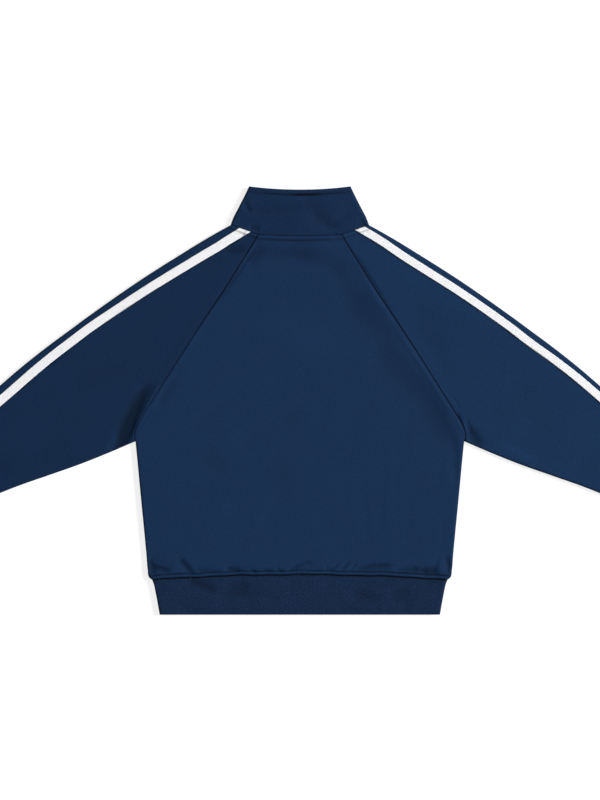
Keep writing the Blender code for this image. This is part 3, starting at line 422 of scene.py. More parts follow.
# Topstitching, and the soft ridge of the seam allowance between it and its seam
HEM_STITCH = 6.4                # above the hem seam
NECK_STITCH = 7.2               # below the neck seam
COLLAR_STITCH = 8.2             # below the collar's top edge
ZIP_STITCH = 4.5                # from the front's edge
TAPE_STITCH = 1.2               # from each edge of a sleeve tape
STITCH_SOFT = 1.25              # half width of the groove that a row of stitches presses in
STITCH_SUNK = 0.2               # how deep a stitch sits in its cloth, as a share of the thread
THREAD_FLAT = 0.8               # thickness of a stitch as a share of its width
STITCH_CLEAR = 1.5              # from the ends of a row of stitches up a front to the seams
LINE_END = 4.0                  # from the ends of the other rows to the fold
LINE_STEP = 1.5                 # from one point of a row's path to the next
HEM_RISE = 0.7                  # how far the hem seam stands above its curve, clear of the sides
HEM_WAVES = ((0.5, 19.0, 0.6), (0.3, 7.3, 2.0))     # its small waves: height, length and start
HEM_WAVE_REACH = 18.0           # how far into the cloth on each side they reach
HEM_WAVE_FADE = 16.0            # how far in from the side folds they fade
SEAM_LINE = 1.4                 # half width of the painted shade along a seam
HEM_LINE = 1.75                 # the same along the hem seam
STITCH_LINES = {"hem": 1.25, "neck": 1.625, "collar": 1.875}       # the same along the topstitching
SHADE_DEPTH = 1.6               # depth at which a crease has most of its painted shade
RIDGE_LIGHT = 0.2               # painted light on a ridge, for each millimetre of its height
ALLOWANCE = (3.2, 1.7)          # middle and half width of the ridge between a seam and its topstitch
ALLOWANCE_RISE = 0.7            # its height, as a share of the topstitching's depth
ALLOWANCE_LIGHT = 0.6           # its height for the painted light that it catches, in millimetres
SEAM_PARTS = {"hem": 1.5, "neck": 0.7, "cuff": 0.95}        # painted shade of each seam against the seam shade setting
EDGE_SHADE = (0.4, 2.0)         # painted shade along a folded edge, and its half width
EDGE_PARTS = {"left": 0.4, "right": 1.0, "hem": 1.2, "cuff": 1.0}  # painted shade of each edge against that
HEM_SHADE = (0.06, 15.0)        # painted shade on the cloth drawn in above the hem seam, and how far it reaches
STRIP_LIGHT = 0.1               # painted light on the left sleeve's strip between its tape and its fold
TAPE_SHADE = (0.5, 0.7, 1.3)    # painted shadow beside a sleeve tape, how far from it, and its half width
TAPE_CLEAR = 0.1                # where that painted shadow starts, from the tape's inner edge

# Painted shade along the raglan seams, from the armpit up
SeamShadeRow = namedtuple("SeamShadeRow", "y left right")
RAGLAN_SHADES = [
    SeamShadeRow(-65.0, 0.0, 1.1),
    SeamShadeRow(-20.0, 0.35, 1.0),
    SeamShadeRow(20.0, 0.5, 0.85),
    SeamShadeRow(60.0, 0.55, 0.85),
    SeamShadeRow(100.0, 0.65, 1.1),
    SeamShadeRow(140.0, 1.1, 1.3),
    SeamShadeRow(200.0, 1.35, 1.4),
    SeamShadeRow(266.0, 1.4, 1.1),
]

# Painted shade along each line of topstitching, across the jacket
StitchShadeRow = namedtuple("StitchShadeRow", "x hem neck collar")
STITCH_SHADES = [
    StitchShadeRow(-240.0, 1.2, 0.7, 0.45),
    StitchShadeRow(-120.0, 1.1, 0.7, 0.45),
    StitchShadeRow(-80.0, 1.25, 0.7, 0.45),
    StitchShadeRow(-60.0, 1.25, 1.05, 0.85),
    StitchShadeRow(-40.0, 1.2, 0.95, 1.1),
    StitchShadeRow(-20.0, 1.05, 0.95, 1.1),
    StitchShadeRow(0.0, 0.9, 1.05, 1.9),
    StitchShadeRow(20.0, 0.85, 1.0, 1.9),
    StitchShadeRow(40.0, 1.0, 0.85, 1.15),
    StitchShadeRow(60.0, 1.1, 0.7, 0.85),
    StitchShadeRow(80.0, 1.1, 0.6, 0.5),
    StitchShadeRow(120.0, 1.25, 0.6, 0.45),
    StitchShadeRow(240.0, 1.35, 0.6, 0.45),
]


# Plan curves

def ease(value):
    """Smooth step from 0 to 1."""
    value = np.clip(value, 0.0, 1.0)
    return value * value * (3.0 - 2.0 * value)


def mix(a, b, share):
    """Value between two others."""
    return a + (b - a) * share


def run_length(points):
    """Distance along a line of points, at each of them."""
    return np.concatenate([[0.0], np.cumsum(np.linalg.norm(np.diff(points, axis=0), axis=1))])


def through(values, at, where):
    """Smooth values between the rows of a table: at is each row's place, where the places wanted."""
    values = np.asarray(values, float)
    slopes = np.gradient(values, at, axis=0)
    k = np.clip(np.searchsorted(at, where, side="right") - 1, 0, len(at) - 2)
    step = (at[k + 1] - at[k])[:, None]
    t = (where - at[k])[:, None] / step
    near = values[k] * (1 + 2 * t) * (1 - t) ** 2 + step * slopes[k] * t * (1 - t) ** 2
    far = values[k + 1] * t * t * (3 - 2 * t) - step * slopes[k + 1] * t * t * (1 - t)
    return near + far


def graded(length, low, high, middle, reach):
    """Shares from 0 to 1 whose steps grow from low and high at the two ends to middle over a reach."""
    stops = [0.0]
    while stops[-1] < length:
        here = stops[-1]
        left = max(0.0, length - here)
        stops.append(here + min(middle, mix(low, middle, here / reach), mix(high, middle, left / reach)))
    return np.array(stops) / stops[-1]


def graded_rows(table, at, low, high, middle, reach):
    """Rows of a table whose steps grow from low and high at the two ends to middle over a reach."""
    return through(table, at, graded(at[-1], low, high, middle, reach) * at[-1])


def raglan_rows(shares):
    """Rows of the raglan table at shares of the seam's length, the neck first."""
    table = np.array(RAGLAN)
    at = run_length(table[:, :2])
    return RaglanRow(*through(table, at, shares * at[-1]).T)


def body_rows(table, shares):
    """Rows of the body or the hem band at shares of the side's length, the lowest first."""
    table = np.array(table)
    at = run_length(table[:, [2, 1]])
    return BodyRow(*through(table, at, shares * at[-1]).T)


def arm_axis():
    """Start and direction of the straight part of the right sleeve, and the direction across it."""
    armpit = RAGLAN[-1]
    start = np.array((armpit.back_x + armpit.fold_x, armpit.back_y + armpit.fold_y)) / 2
    down = np.array((math.cos(SLEEVE_ANGLE), math.sin(SLEEVE_ANGLE)))
    return start, down, np.array((-down[1], down[0]))


def arm_edges(table, first, shares):
    """Underarm and top fold points of the right arm at shares of a table's length."""
    start, down, across = arm_axis()
    rows = [] if first is None else [first]
    places = [] if first is None else [0.0]
    for row in table:
        middle = start + down * row.along
        rows.append((*(middle - across * row.half), *(middle + across * row.half)))
        places.append(row.along)
    places = np.array(places)
    found = through(rows, places, mix(places[0], places[-1], shares))
    return found[:, :2], found[:, 2:]


ARMPIT = (RAGLAN[-1].back_x, RAGLAN[-1].back_y, RAGLAN[-1].fold_x, RAGLAN[-1].fold_y)


def fold_lines():
    """The right half's folded edges in plan: body side, underarm and shoulder with collar side."""
    fine = np.linspace(0.0, 1.0, 60)
    hem = body_rows(HEM, fine[::4])
    body = body_rows(BODY, fine)
    raglan = raglan_rows(fine)
    sleeve = arm_edges(SLEEVE_ARM, ARMPIT, fine)
    cuff = arm_edges(CUFF, None, fine[::4])
    side = np.concatenate([np.stack([rows.side_x, rows.side_y], 1) for rows in (hem, body)])
    under = np.concatenate([sleeve[0], cuff[0]])
    collar = np.array(COLLAR)[::-1, ::-1]
    shoulder = np.concatenate([collar, np.stack([raglan.fold_x, raglan.fold_y], 1), sleeve[1], cuff[1]])
    return [side, under, shoulder]


FOLD_LINES = fold_lines()


def line_distance(x, y, line):
    """Distance in plan from points to a line of plan points."""
    best = np.full(np.shape(x), np.inf)
    for (ax, ay), (bx, by) in zip(line, line[1:]):
        rx, ry = bx - ax, by - ay
        length = rx * rx + ry * ry
        if length > 0.0:
            share = np.clip(((x - ax) * rx + (y - ay) * ry) / length, 0.0, 1.0)
            best = np.minimum(best, np.hypot(x - ax - share * rx, y - ay - share * ry))
    return best


def fold_distance(x, y):
    """Distance in plan to the nearest folded edge."""
    return np.minimum.reduce([line_distance(np.abs(x), y, line) for line in FOLD_LINES])


def neck_y(x, layer):
    """Neck seam: nearly level across the back, dipping at the front, and up each sleeve's end."""
    neck = RAGLAN[0]
    x = np.abs(x)
    if layer == UPPER:
        corner_x, corner_y, middle, bend, inner = neck.back_x, neck.back_y, NECK_BACK_MID, ROW_BEND, 0.0
    else:
        corner_x, corner_y, middle, bend = neck.front_x, neck.front_y, NECK_FRONT_MID, NECK_FRONT_BEND
        inner = ZIP_EDGE
    share = np.clip((x - inner) / (corner_x - inner), 0.0, 1.0)
    beyond = (x - corner_x) / (neck.fold_x - corner_x)
    return np.where(x <= corner_x, mix(middle, corner_y, share ** bend), mix(corner_y, neck.fold_y, beyond))


def hem_waver(x, y):
    """How far the hem seam and the cloth near it stand off the seam's smooth curve."""
    wave = HEM_RISE
    for height, length, start in HEM_WAVES:
        wave = wave + height * np.sin(x / length + start)
    hem = BODY[0]
    return wave * pressed(y - hem.mid_y, HEM_WAVE_REACH) * ease((hem.side_x - np.abs(x)) / HEM_WAVE_FADE)


def hem_y(x):
    """Seam between the body and the hem band."""
    low, high = HEM[-1], BODY[0]
    share = (np.abs(x) / low.side_x) ** ROW_BEND
    y = mix((low.mid_y + high.mid_y) / 2, (low.side_y + high.side_y) / 2, share)
    return y + hem_waver(x, y)


def collar_top_y(x, layer):
    """Top edge of the collar, which sags between its two corners."""
    return mix(COLLAR_TOPS[layer], COLLAR_CORNER, (np.abs(x) / COLLAR[-1].side_x) ** ROW_BEND)


# Height of the layers

def down_the_arm(x, y):
    """Distance along the straight part of either sleeve."""
    start, down, _ = arm_axis()
    return (np.abs(x) - start[0]) * down[0] + (y - start[1]) * down[1]


def stack_height(x, y):
    """Height of the two layers together, a little more where they are doubled."""
    hem = ease((HEM_RAMP[0] + HEM_RAMP[1] - y) / HEM_RAMP[1])
    neck = ease((y - NECK_RAMP[0] + NECK_RAMP[1]) / NECK_RAMP[1])
    cuff = ease((down_the_arm(x, y) - CUFF_RAMP[0] + CUFF_RAMP[1]) / CUFF_RAMP[1])
    return mix(CLOTH_STACK, BAND_STACK, np.maximum(np.maximum(hem, neck), cuff))


def slider_lift(x, y):
    """Share of the slider's lift: 1 over the slider, fading to 0."""
    away = np.hypot(x / LIFT_REACH[0], (y - SLIDER_Y) / LIFT_REACH[1])
    return 1.0 - mix(ease(away), np.minimum(away, 1.0), LIFT_POINT)


def roll_share(distance, half_stack):
    """Share of half the stack reached at a distance from a fold: a quarter ellipse, then level."""
    share = np.minimum(1.0, distance / (ROLL_REACH * half_stack))
    return np.sqrt(1.0 - (1.0 - share) ** 2)


def pressed(distance, half_width):
    """Soft cross-section of a groove or a ridge."""
    return np.exp(-(distance / half_width) ** 2)


def turned_down(distance, radius):
    """How far an edge has turned down, at a distance from where it ends."""
    inside = np.clip(radius - distance, 0.0, radius)
    return radius - np.sqrt(radius * radius - inside * inside)


def plan_creases():
    """All creases in plan, those down the arms too."""
    start, down, across = arm_axis()
    found = list(CREASES)
    for row in ARM_CREASES:
        x0, y0 = start + down * row.along0 + across * row.across0
        x1, y1 = start + down * row.along1 + across * row.across1
        widths = (row.left, row.right) if row.side == RIGHT else (row.right, row.left)
        found.append(Crease(row.layer, row.side * x0, y0, row.side * x1, y1, 0.0, *widths, row.depth))
    return found


def crease_depth(x, y, layer):
    """How far all the creases of a layer sink a point."""
    total = np.zeros(np.shape(x))
    for row in plan_creases():
        if row.layer != layer:
            continue
        length = math.hypot(row.x1 - row.x0, row.y1 - row.y0)
        run_x, run_y = (row.x1 - row.x0) / length, (row.y1 - row.y0) / length
        share = ((x - row.x0) * run_x + (y - row.y0) * run_y) / length
        aside = (x - row.x0) * run_y - (y - row.y0) * run_x - 4.0 * row.bow * share * (1.0 - share)
        width = np.where(aside > 0.0, row.right, row.left)
        total += row.depth * pressed(aside, width) * np.exp(-((share - 0.5) / CREASE_ENDS) ** 4)
    return total


def smooth_line(points):
    """More points on a smooth line through the given ones."""
    at = run_length(points)
    return through(points, at, np.linspace(0.0, at[-1], 8 * len(points)))


RAGLAN_LINES = {
    UPPER: smooth_line(np.array(RAGLAN)[:, 0:2]),
    LOWER: smooth_line(np.array(RAGLAN)[:, 2:4]),
}


def seam_depth(x, y, layer):
    """How far seams, edges and topstitching sink a point, less the ridges between them."""
    sizes = bpy.context.scene.track_jacket
    seam, fold, stitch = sizes.seam_radius / MM, DOUBLE_CLOTH / 2, sizes.stitch_depth / MM
    above_hem = y - hem_y(x)
    below_neck = neck_y(x, layer) - y
    below_top = collar_top_y(x, layer) - y
    arm = down_the_arm(x, y)
    drops = [turned_down(line_distance(np.abs(x), y, RAGLAN_LINES[layer]), seam)]
    drops += [turned_down(np.abs(away), seam) for away in (above_hem, below_neck, arm - CUFF_SEAM)]
    drops += [turned_down(away, fold) for away in (below_top, y - HEM_BOTTOM, CUFF_END - arm)]
    if layer == LOWER:
        drops.append(turned_down(np.abs(x) - ZIP_EDGE, seam))
    total = np.maximum.reduce(drops)
    for away, place in ((above_hem, HEM_STITCH), (below_neck, NECK_STITCH), (below_top, COLLAR_STITCH)):
        total += stitch * pressed(away - place, STITCH_SOFT)
    for away in (above_hem, below_neck):
        total -= ALLOWANCE_RISE * stitch * pressed(away - ALLOWANCE[0], ALLOWANCE[1])
    if layer == LOWER:
        total += stitch * pressed(np.abs(x) - ZIP_EDGE - ZIP_STITCH, STITCH_SOFT)
    return total


def painted_shade(x, y, layer):
    """Painted shade: share of the light that seams, topstitching, folded edges, tapes and creases keep from a
    point, taken off its colour, less the painted light that ridges catch.
    """
    sizes = bpy.context.scene.track_jacket
    above_hem = y - hem_y(x)
    below_neck = neck_y(x, layer) - y
    below_top = collar_top_y(x, layer) - y
    arm = down_the_arm(x, y)
    level, left, right = np.array(RAGLAN_SHADES).T
    raglan = np.where(x < 0.0, np.interp(y, level, left), np.interp(y, level, right))
    # Painted shade along the seams, then along the topstitching
    seams = ((line_distance(np.abs(x), y, RAGLAN_LINES[layer]), raglan, SEAM_LINE),
             (above_hem, SEAM_PARTS["hem"], HEM_LINE),
             (below_neck, SEAM_PARTS["neck"], SEAM_LINE),
             (arm - CUFF_SEAM, SEAM_PARTS["cuff"], SEAM_LINE))
    shades = [sizes.seam_painted_shade * part * pressed(away, width) for away, part, width in seams]
    across_it, *parts = np.array(STITCH_SHADES).T
    lines = (above_hem - HEM_STITCH, below_neck - NECK_STITCH, below_top - COLLAR_STITCH)
    for away, part, width in zip(lines, parts, STITCH_LINES.values()):
        shades.append(sizes.stitch_painted_shade * np.interp(x, across_it, part) * pressed(away, width))
    # Painted shade along the folded edges, the hem's bottom and the cuffs' ends
    folds = ((fold_distance(x, y), np.where(x > 0.0, EDGE_PARTS["right"], EDGE_PARTS["left"])),
             (y - HEM_BOTTOM, EDGE_PARTS["hem"]), (CUFF_END - arm, EDGE_PARTS["cuff"]))
    shades += [EDGE_SHADE[0] * part * pressed(away, EDGE_SHADE[1]) for away, part in folds]
    # Painted shade in the creases, growing with their depth
    sunk = crease_depth(x, y, layer)
    shades.append(sizes.crease_painted_shade * (1.0 - np.exp(-(np.maximum(sunk, 0.0) / SHADE_DEPTH) ** 2)))
    # Painted shadow beside the sleeve tapes, and painted light on the left sleeve's strip
    tape = painted_shade_by_tape(x, y) if layer == UPPER else 0.0
    # Painted light on ridges: the height of creases that stand up and of the seam allowances
    ridge = np.maximum(-sunk, 0.0)
    for away in (above_hem, below_neck):
        ridge += ALLOWANCE_LIGHT * pressed(away - ALLOWANCE[0], ALLOWANCE[1])
    # Painted shade on the cloth above the hem seam
    hem_painted_shade = HEM_SHADE[0] * (above_hem > 0.0) * pressed(above_hem, HEM_SHADE[1])
    return np.maximum.reduce(shades) + hem_painted_shade + tape - RIDGE_LIGHT * ridge


def painted_shade_by_tape(x, y):
    """Painted shadow just inside each sleeve tape, less painted light on the left sleeve's strip outside it.
    """
    total = np.zeros(np.shape(x))
    shoulder = FOLD_LINES[2]
    at = run_length(shoulder)
    from_fold = line_distance(np.abs(x), y, shoulder)
    down = np.clip((np.abs(x) - shoulder[0, 0]) / (shoulder[-1, 0] - shoulder[0, 0]), 0.0, 1.0)
    for side, width in TAPE_WIDTHS.items():
        inner = tape_distance((at[-1] * down).ravel(), side).reshape(down.shape) + width
        away = from_fold - inner
        if side == LEFT:
            total -= STRIP_LIGHT * (x < 0.0) * (away < -width)
        dark = TAPE_SHADE[0] * pressed(away - TAPE_SHADE[1], TAPE_SHADE[2])
        total += dark * (np.sign(x) == side) * (away > TAPE_CLEAR)
    return total * (y < neck_y(x, UPPER))


def surface(x, y, layer, edge=np.inf):
    """Height of a layer's outer surface. edge is the distance from the piece's own folded edge."""
    away = np.minimum(fold_distance(x, y), edge)
    half = stack_height(x, y) / 2
    strength = bpy.context.scene.track_jacket.crease_strength
    sunk = seam_depth(x, y, layer) + strength * crease_depth(x, y, layer) * ease(away / CREASE_FADE)
    most = half - FOLD_GAP if layer == LOWER else 2.0 * half - LEAST_STACK
    rise = (half - np.minimum(sunk, most)) * roll_share(away, half)
    if layer == LOWER:
        rise = np.minimum(rise, half)
    return half + layer * np.maximum(rise, FOLD_GAP) + LIFTS[layer] * slider_lift(x, y)


# Cloth meshes

def select_only(thing):
    """Selects one object alone and makes it the active one."""
    bpy.ops.object.select_all(action="DESELECT")
    thing.select_set(True)
    bpy.context.view_layer.objects.active = thing


def apply_modifiers(thing):
    """Makes every modifier of a piece part of its mesh."""
    select_only(thing)
    for modifier in list(thing.modifiers):
        bpy.ops.object.modifier_apply(modifier=modifier.name)


def smooth_shading(thing, degrees=50.0):
    """Shades a piece smooth but for its sharper edges."""
    select_only(thing)
    bpy.ops.object.shade_smooth_by_angle(angle=math.radians(degrees))


def dress(thing, material, body="jacket", replaces=()):
    """Gives a finished piece its material and its body, and hides the CAD nodes that it stands for."""
    thing.data.materials.clear()
    thing.data.materials.append(material)
    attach(thing, body)
    if replaces:
        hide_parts(*replaces)
    return thing


def mesh_object(name, points, faces):
    """Object from points in millimetres and lists of corners."""
    mesh = bpy.data.meshes.new(name)
    mesh.from_pydata((np.asarray(points).reshape(-1, 3) * MM).tolist(), [], faces)
    thing = bpy.data.objects.new(name, mesh)
    bpy.context.scene.collection.objects.link(thing)
    return thing


def grid_faces(rows, columns, ring, turned):
    """Faces between rows of points, turned over where the rows run the other way."""
    index = np.arange(rows * columns).reshape(rows, columns)
    if ring:
        index = np.concatenate([index, index[:, :1]], axis=1)
    faces = np.stack([index[:-1, :-1], index[:-1, 1:], index[1:, 1:], index[1:, :-1]], -1).reshape(-1, 4)
    return (faces[:, ::-1] if turned else faces).tolist()


def lay_map(thing, grain):
    """UV map in metres: the plan, turned so that V runs along the grain of the piece."""
    mesh = thing.data
    points = np.zeros(len(mesh.vertices) * 3)
    mesh.vertices.foreach_get("co", points)
    corners = np.zeros(len(mesh.loops), int)
    mesh.loops.foreach_get("vertex_index", corners)
    x, y, _ = points.reshape(-1, 3)[corners].T
    run_x, run_y = math.cos(grain), math.sin(grain)
    turned = np.stack([x * run_x + y * run_y, y * run_x - x * run_y], 1)
    mesh.uv_layers.new(name=CLOTH_MAP).data.foreach_set("uv", turned.ravel())


def painted_shade_of(points):
    """Painted shade of a grid of points, each on the layer that it is nearer."""
    x, y, z = np.moveaxis(points, -1, 0)
    under = z < stack_height(x, y) / 2 + MIDDLE_LIFT * slider_lift(x, y)
    return np.where(under, painted_shade(x, y, LOWER), painted_shade(x, y, UPPER))


def cloth(name, points, wall, grain, ring, turned):
    """Closed cloth piece from rows of outer points, with its wall inwards."""
    rows, columns = points.shape[:2]
    thing = mesh_object(name, points, grid_faces(rows, columns, ring, turned))
    # painted shade of each point, which its finish takes off the colour
    darker = thing.data.attributes.new(PAINTED_SHADE, "FLOAT", "POINT")
    darker.data.foreach_set("value", painted_shade_of(points).ravel())
    thickness = thing.modifiers.new("wall", "SOLIDIFY")
    thickness.thickness = wall * MM
    thickness.offset = -1.0
    thickness.use_quality_normals = True
    apply_modifiers(thing)
    smooth_shading(thing)
    lay_map(thing, grain)
    return thing


def lay(points, ring, pieces):
    """Repeats a ring's first column of outer points at its end, and does nothing more with them."""
    if ring:
        points = np.concatenate([points, points[:, :1]], axis=1)


def sew(name, points, wall, material, node, grain=0.0, ring=False, turned=False,
        pieces=()):
    """Makes a cloth piece for a CAD node from rows of outer points."""
    thing = cloth(name, points, wall, grain, ring, turned)
    dress(thing, material, replaces=[node])
    lay(points, ring, pieces)


def on_surface(x, y, layer, edge=np.inf):
    """3D points of a layer's outer surface over plan places."""
    y = y + hem_waver(x, y)
    return np.stack([x, y, surface(x, y, layer, edge)], -1)


def on_fold(side, x, y):
    """3D points along a fold, midway up the stack, as one column."""
    return np.stack([side * x, y, stack_height(x, y) / 2], -1)[:, None]


def to_fold(inner, fold, level, stops):
    """Rows of places from an inner edge out, at shares of the level part and then at stops from the fold."""
    return np.concatenate([mix(inner, fold - ROLL_STOPS[-1], level), fold - stops[None]], axis=1)


def wrapped(front, back, fold):
    """Points of a piece that wraps both sides: left front, left fold, back, right fold, right front.
    front and back are X, Y and distance from the fold of the right half, from the inner edge out."""
    halves = {}
    for side in (LEFT, RIGHT):
        under = on_surface(side * front[0], front[1], LOWER, front[2])
        over = on_surface(side * back[0], back[1], UPPER, back[2])
        edge = on_fold(side, *fold)
        halves[side] = np.concatenate([under, edge, over[:, ::-1]], axis=1)
    return np.concatenate([halves[LEFT], halves[RIGHT][:, -2::-1]], axis=1)


# Body

def panel_table(layer):
    """Rows of half a panel below and above the armpit, each from the bottom up: Y at the inner edge,
    Y and X at the side, and the power of the row's bend."""
    neck = RAGLAN[0]
    low = [(row.mid_y, row.side_y, row.side_x, ROW_BEND) for row in BODY]
    high = []
    for row in reversed(RAGLAN):
        drop = SEAM_INSET if row is neck else 0.0
        if layer == UPPER:
            middle = NECK_BACK_MID if row is neck else row.back_y
            high.append((middle - drop, row.back_y - drop, row.back_x - SEAM_INSET, ROW_BEND))
        else:
            start, length = NECK_BEND_RAMP
            bend = mix(1.0, NECK_FRONT_BEND, float(ease((row.zip_y - start) / length)))
            high.append((row.zip_y - drop, row.front_y - drop, row.front_x - SEAM_INSET, bend))
    return np.array(low), np.array(high)


def panel(layer, inner, columns, step):
    """Plan places of half a panel from the hem seam to the neck seam, with distance from the side fold."""
    low, high = panel_table(layer)
    level = np.linspace(0.0, 1.0, columns, endpoint=False)[None]
    places = []
    for table, first, last, reach in ((low, EDGE_STEP, step, HEM_REACH), (high, step, EDGE_STEP, SEAM_REACH)):
        rows = graded_rows(table, run_length(table[:, [2, 1]]), first, last, step, reach)
        if table is high:
            rows = rows[1:]
        mid_y, side_y, side_x, bend = rows.T[:, :, None]
        x = to_fold(inner, side_x, level, ROLL_STOPS[::-1])
        y = mix(mid_y, side_y, ((x - inner) / (side_x - inner)) ** bend)
        places.append((x, y, np.where(table is high, np.inf, side_x - x)))
    return [np.concatenate(parts) for parts in zip(*places)]


def back_panel(material, pieces):
    """Back, in one piece from side to side."""
    x, y, edge = panel(UPPER, 0.0, columns=118, step=4.2)
    halves = [on_surface(side * x, y, UPPER, edge) for side in (LEFT, RIGHT)]
    points = np.concatenate([halves[0][:, :0:-1], halves[1]], axis=1)
    sew("back_cloth", points, CLOTH, material, "back",
        pieces=pieces)


def front_panel(word, side, material, pieces):
    """One front, from the zip to the side and raglan seams."""
    x, y, edge = panel(LOWER, ZIP_EDGE, columns=66, step=4.6)
    points = on_surface(side * x, y, LOWER, edge)
    sew("front_%s_cloth" % word, points, CLOTH, material, "front_" + word,
        turned=side == RIGHT, pieces=pieces)


# Collar and ribs

def hem_band(material):
    """Double rib band round the bottom, open at the zip."""
    table = np.array(HEM)
    rows = graded_rows(table, run_length(table[:, [2, 1]]), EDGE_STEP, EDGE_STEP, *BAND_ROWS)
    mid_y, side_y, side_x = rows.T[:, :, None]
    halves = []
    for inner, columns in ((ZIP_EDGE, 78), (0.0, 96)):
        level = np.linspace(0.0, 1.0, columns, endpoint=False)[None]
        x = to_fold(inner, side_x, level, ROLL_STOPS[:0:-1])
        halves.append((x, mix(mid_y, side_y, (x / side_x) ** ROW_BEND), side_x - x))
    points = wrapped(*halves, (side_x[:, 0], side_y[:, 0]))
    sew("hem_band_rib", points, DOUBLE_CLOTH, material, "hem_band")


def collar(material, pieces):
    """Double stand collar, folded flat at its two sides and open at the zip."""
    table = np.array(COLLAR)
    rows = graded_rows(table, run_length(table), EDGE_STEP, EDGE_STEP, *COLLAR_ROWS)
    side_y, side_x = rows.T[:, :, None]
    base, top = COLLAR[0], COLLAR[-1]
    share = (side_y - base.side_y) / (top.side_y - base.side_y)
    neck, halves = RAGLAN[0], []
    for layer, inner, seam_x, near, beyond in ((LOWER, ZIP_EDGE, neck.front_x, 40, 12),
                                               (UPPER, 0.0, neck.back_x, 40, 26)):
        seam = (seam_x - inner) / (base.side_x - ROLL_STOPS[-1] - inner)
        level = np.concatenate([np.linspace(0.0, seam, near, endpoint=False),
                                np.linspace(seam, 1.0, beyond, endpoint=False)])[None]
        base_x, x, top_x = (to_fold(inner, width, level, ROLL_STOPS[:0:-1])
                            for width in (base.side_x, side_x, top.side_x))
        low = neck_y(base_x, layer) + base.side_y - neck.fold_y
        halves.append((x, mix(low, collar_top_y(top_x, layer), share), side_x - x))
    points = wrapped(*halves, (side_x[:, 0], side_y[:, 0]))
    sew("collar_cloth", points, DOUBLE_CLOTH, material, "collar", pieces=pieces)


def across(lower, upper, count, folded):
    """Plan places from lower to upper points, closer together near both ends, and how far each is from
    the upper fold, or from the lower one too where the rows are folded there."""
    run = upper - lower
    length = np.linalg.norm(run, axis=1)[:, None]
    level = np.linspace(0.0, 1.0, count + 1)[None, 1:-1]
    away = np.concatenate([np.tile(ROLL_STOPS, (len(run), 1)),
                           to_fold(ROLL_STOPS[-1], length, level, ROLL_STOPS[::-1])], axis=1)
    places = lower[:, None] + run[:, None] * (away / length)[..., None]
    edge = np.where(folded[:, None], np.minimum(away, length - away), length - away)
    return places[..., 0], places[..., 1], edge


def cuff(word, side, material):
    """Double rib cuff, a flattened tube."""
    lower, upper = arm_edges(CUFF, None, graded(CUFF_END - CUFF_SEAM, EDGE_STEP, EDGE_STEP, *BAND_ROWS))
    folded = np.ones(len(lower), bool)
    layers = []
    for layer, count in ((UPPER, 26), (LOWER, 20)):
        x, y, edge = across(lower, upper, count, folded)
        layers.append(on_surface(side * x[:, 1:-1], y[:, 1:-1], layer, edge[:, 1:-1]))
    points = np.concatenate([on_fold(side, *lower.T), layers[0], on_fold(side, *upper.T), layers[1][:, ::-1]],
                            axis=1)
    sew("cuff_%s_rib" % word, points, DOUBLE_CLOTH, material, "cuff_" + word,
        grain=side * SLEEVE_ACROSS, ring=True, turned=side == RIGHT)


# Sleeves

def sleeve_sections(step):
    """Points of the right sleeve from the neck to the cuff: its edge on the back and on the front, and its
    top fold, and whether it is folded at the underarm there."""
    table = np.array(RAGLAN)
    table[:-1, [0, 2]] += SEAM_INSET
    table[0, [1, 3]] -= SEAM_INSET
    fold = table[:, 5:7]
    fold[0] += (fold[1] - fold[0]) / np.linalg.norm(fold[1] - fold[0]) * SEAM_GAP
    at = run_length(table[:, :2])
    raglan = graded_rows(table, at, EDGE_STEP, step, step, SEAM_REACH)
    along = graded(CUFF_SEAM, step, EDGE_STEP, step, SEAM_REACH)[1:]
    lower, upper = arm_edges(SLEEVE_ARM, ARMPIT, along)
    folded = np.arange(len(raglan) + len(lower)) >= len(raglan) - 1
    return [np.concatenate(pair) for pair in ((raglan[:, 0:2], lower), (raglan[:, 2:4], lower),
                                              (raglan[:, 5:7], upper))] + [folded]


def sleeve(word, side, material):
    """Raglan sleeve in one piece, its two long edges meeting at the underarm seam."""
    back, front, fold, folded = sleeve_sections(step=3.6)
    layers = []
    for lower, layer, count in ((back, UPPER, 58), (front, LOWER, 34)):
        x, y, edge = across(lower, fold, count, folded)
        layers.append(on_surface(side * x[:, :-1], y[:, :-1], layer, edge[:, :-1]))
    points = np.concatenate([layers[0], on_fold(side, *fold.T), layers[1][:, ::-1]], axis=1)
    sew("sleeve_%s_cloth" % word, points, CLOTH, material, "sleeve_" + word,
        grain=side * SLEEVE_ACROSS, turned=side == RIGHT)


def tape_distance(along, side):
    """Distance of a sleeve tape from the top fold, at distances along the fold from the neck."""
    table = np.array(TAPE)
    return through(table[:, 1:], table[:, 0], along)[:, 0 if side == LEFT else 1]


def tape_places(side, across_tape):
    """Plan places on a sleeve tape, from the neck to the cuff, at distances across it from its outer edge."""
    fold = sleeve_sections(step=3.2)[2]
    run = np.gradient(fold, axis=0)
    run /= np.linalg.norm(run, axis=1)[:, None]
    inward = np.stack([run[:, 1], -run[:, 0]], 1)
    at = run_length(fold)
    away = tape_distance(at, side)[:, None] + np.asarray(across_tape)
    places = fold[:, None] + inward[:, None] * away[..., None]
    # The end at the neck is cut along the seam, and the rows below it turn square over a short way.
    neck = RAGLAN[0]
    seam = np.array((neck.fold_x - neck.back_x, neck.fold_y - neck.back_y))
    gap = np.array((neck.back_x, neck.back_y - SEAM_INSET)) - places[0]
    slide = (gap[:, 0] * seam[1] - gap[:, 1] * seam[0]) / (run[0, 0] * seam[1] - run[0, 1] * seam[0])
    ends = places[0] + run[0] * slide[:, None]
    slanted = int(np.searchsorted(at, TAPE_SLANT))
    shares = (at[:slanted] / at[slanted])[:, None, None]
    places[:slanted] = mix(ends, places[slanted], shares)
    return places[..., 0], places[..., 1]


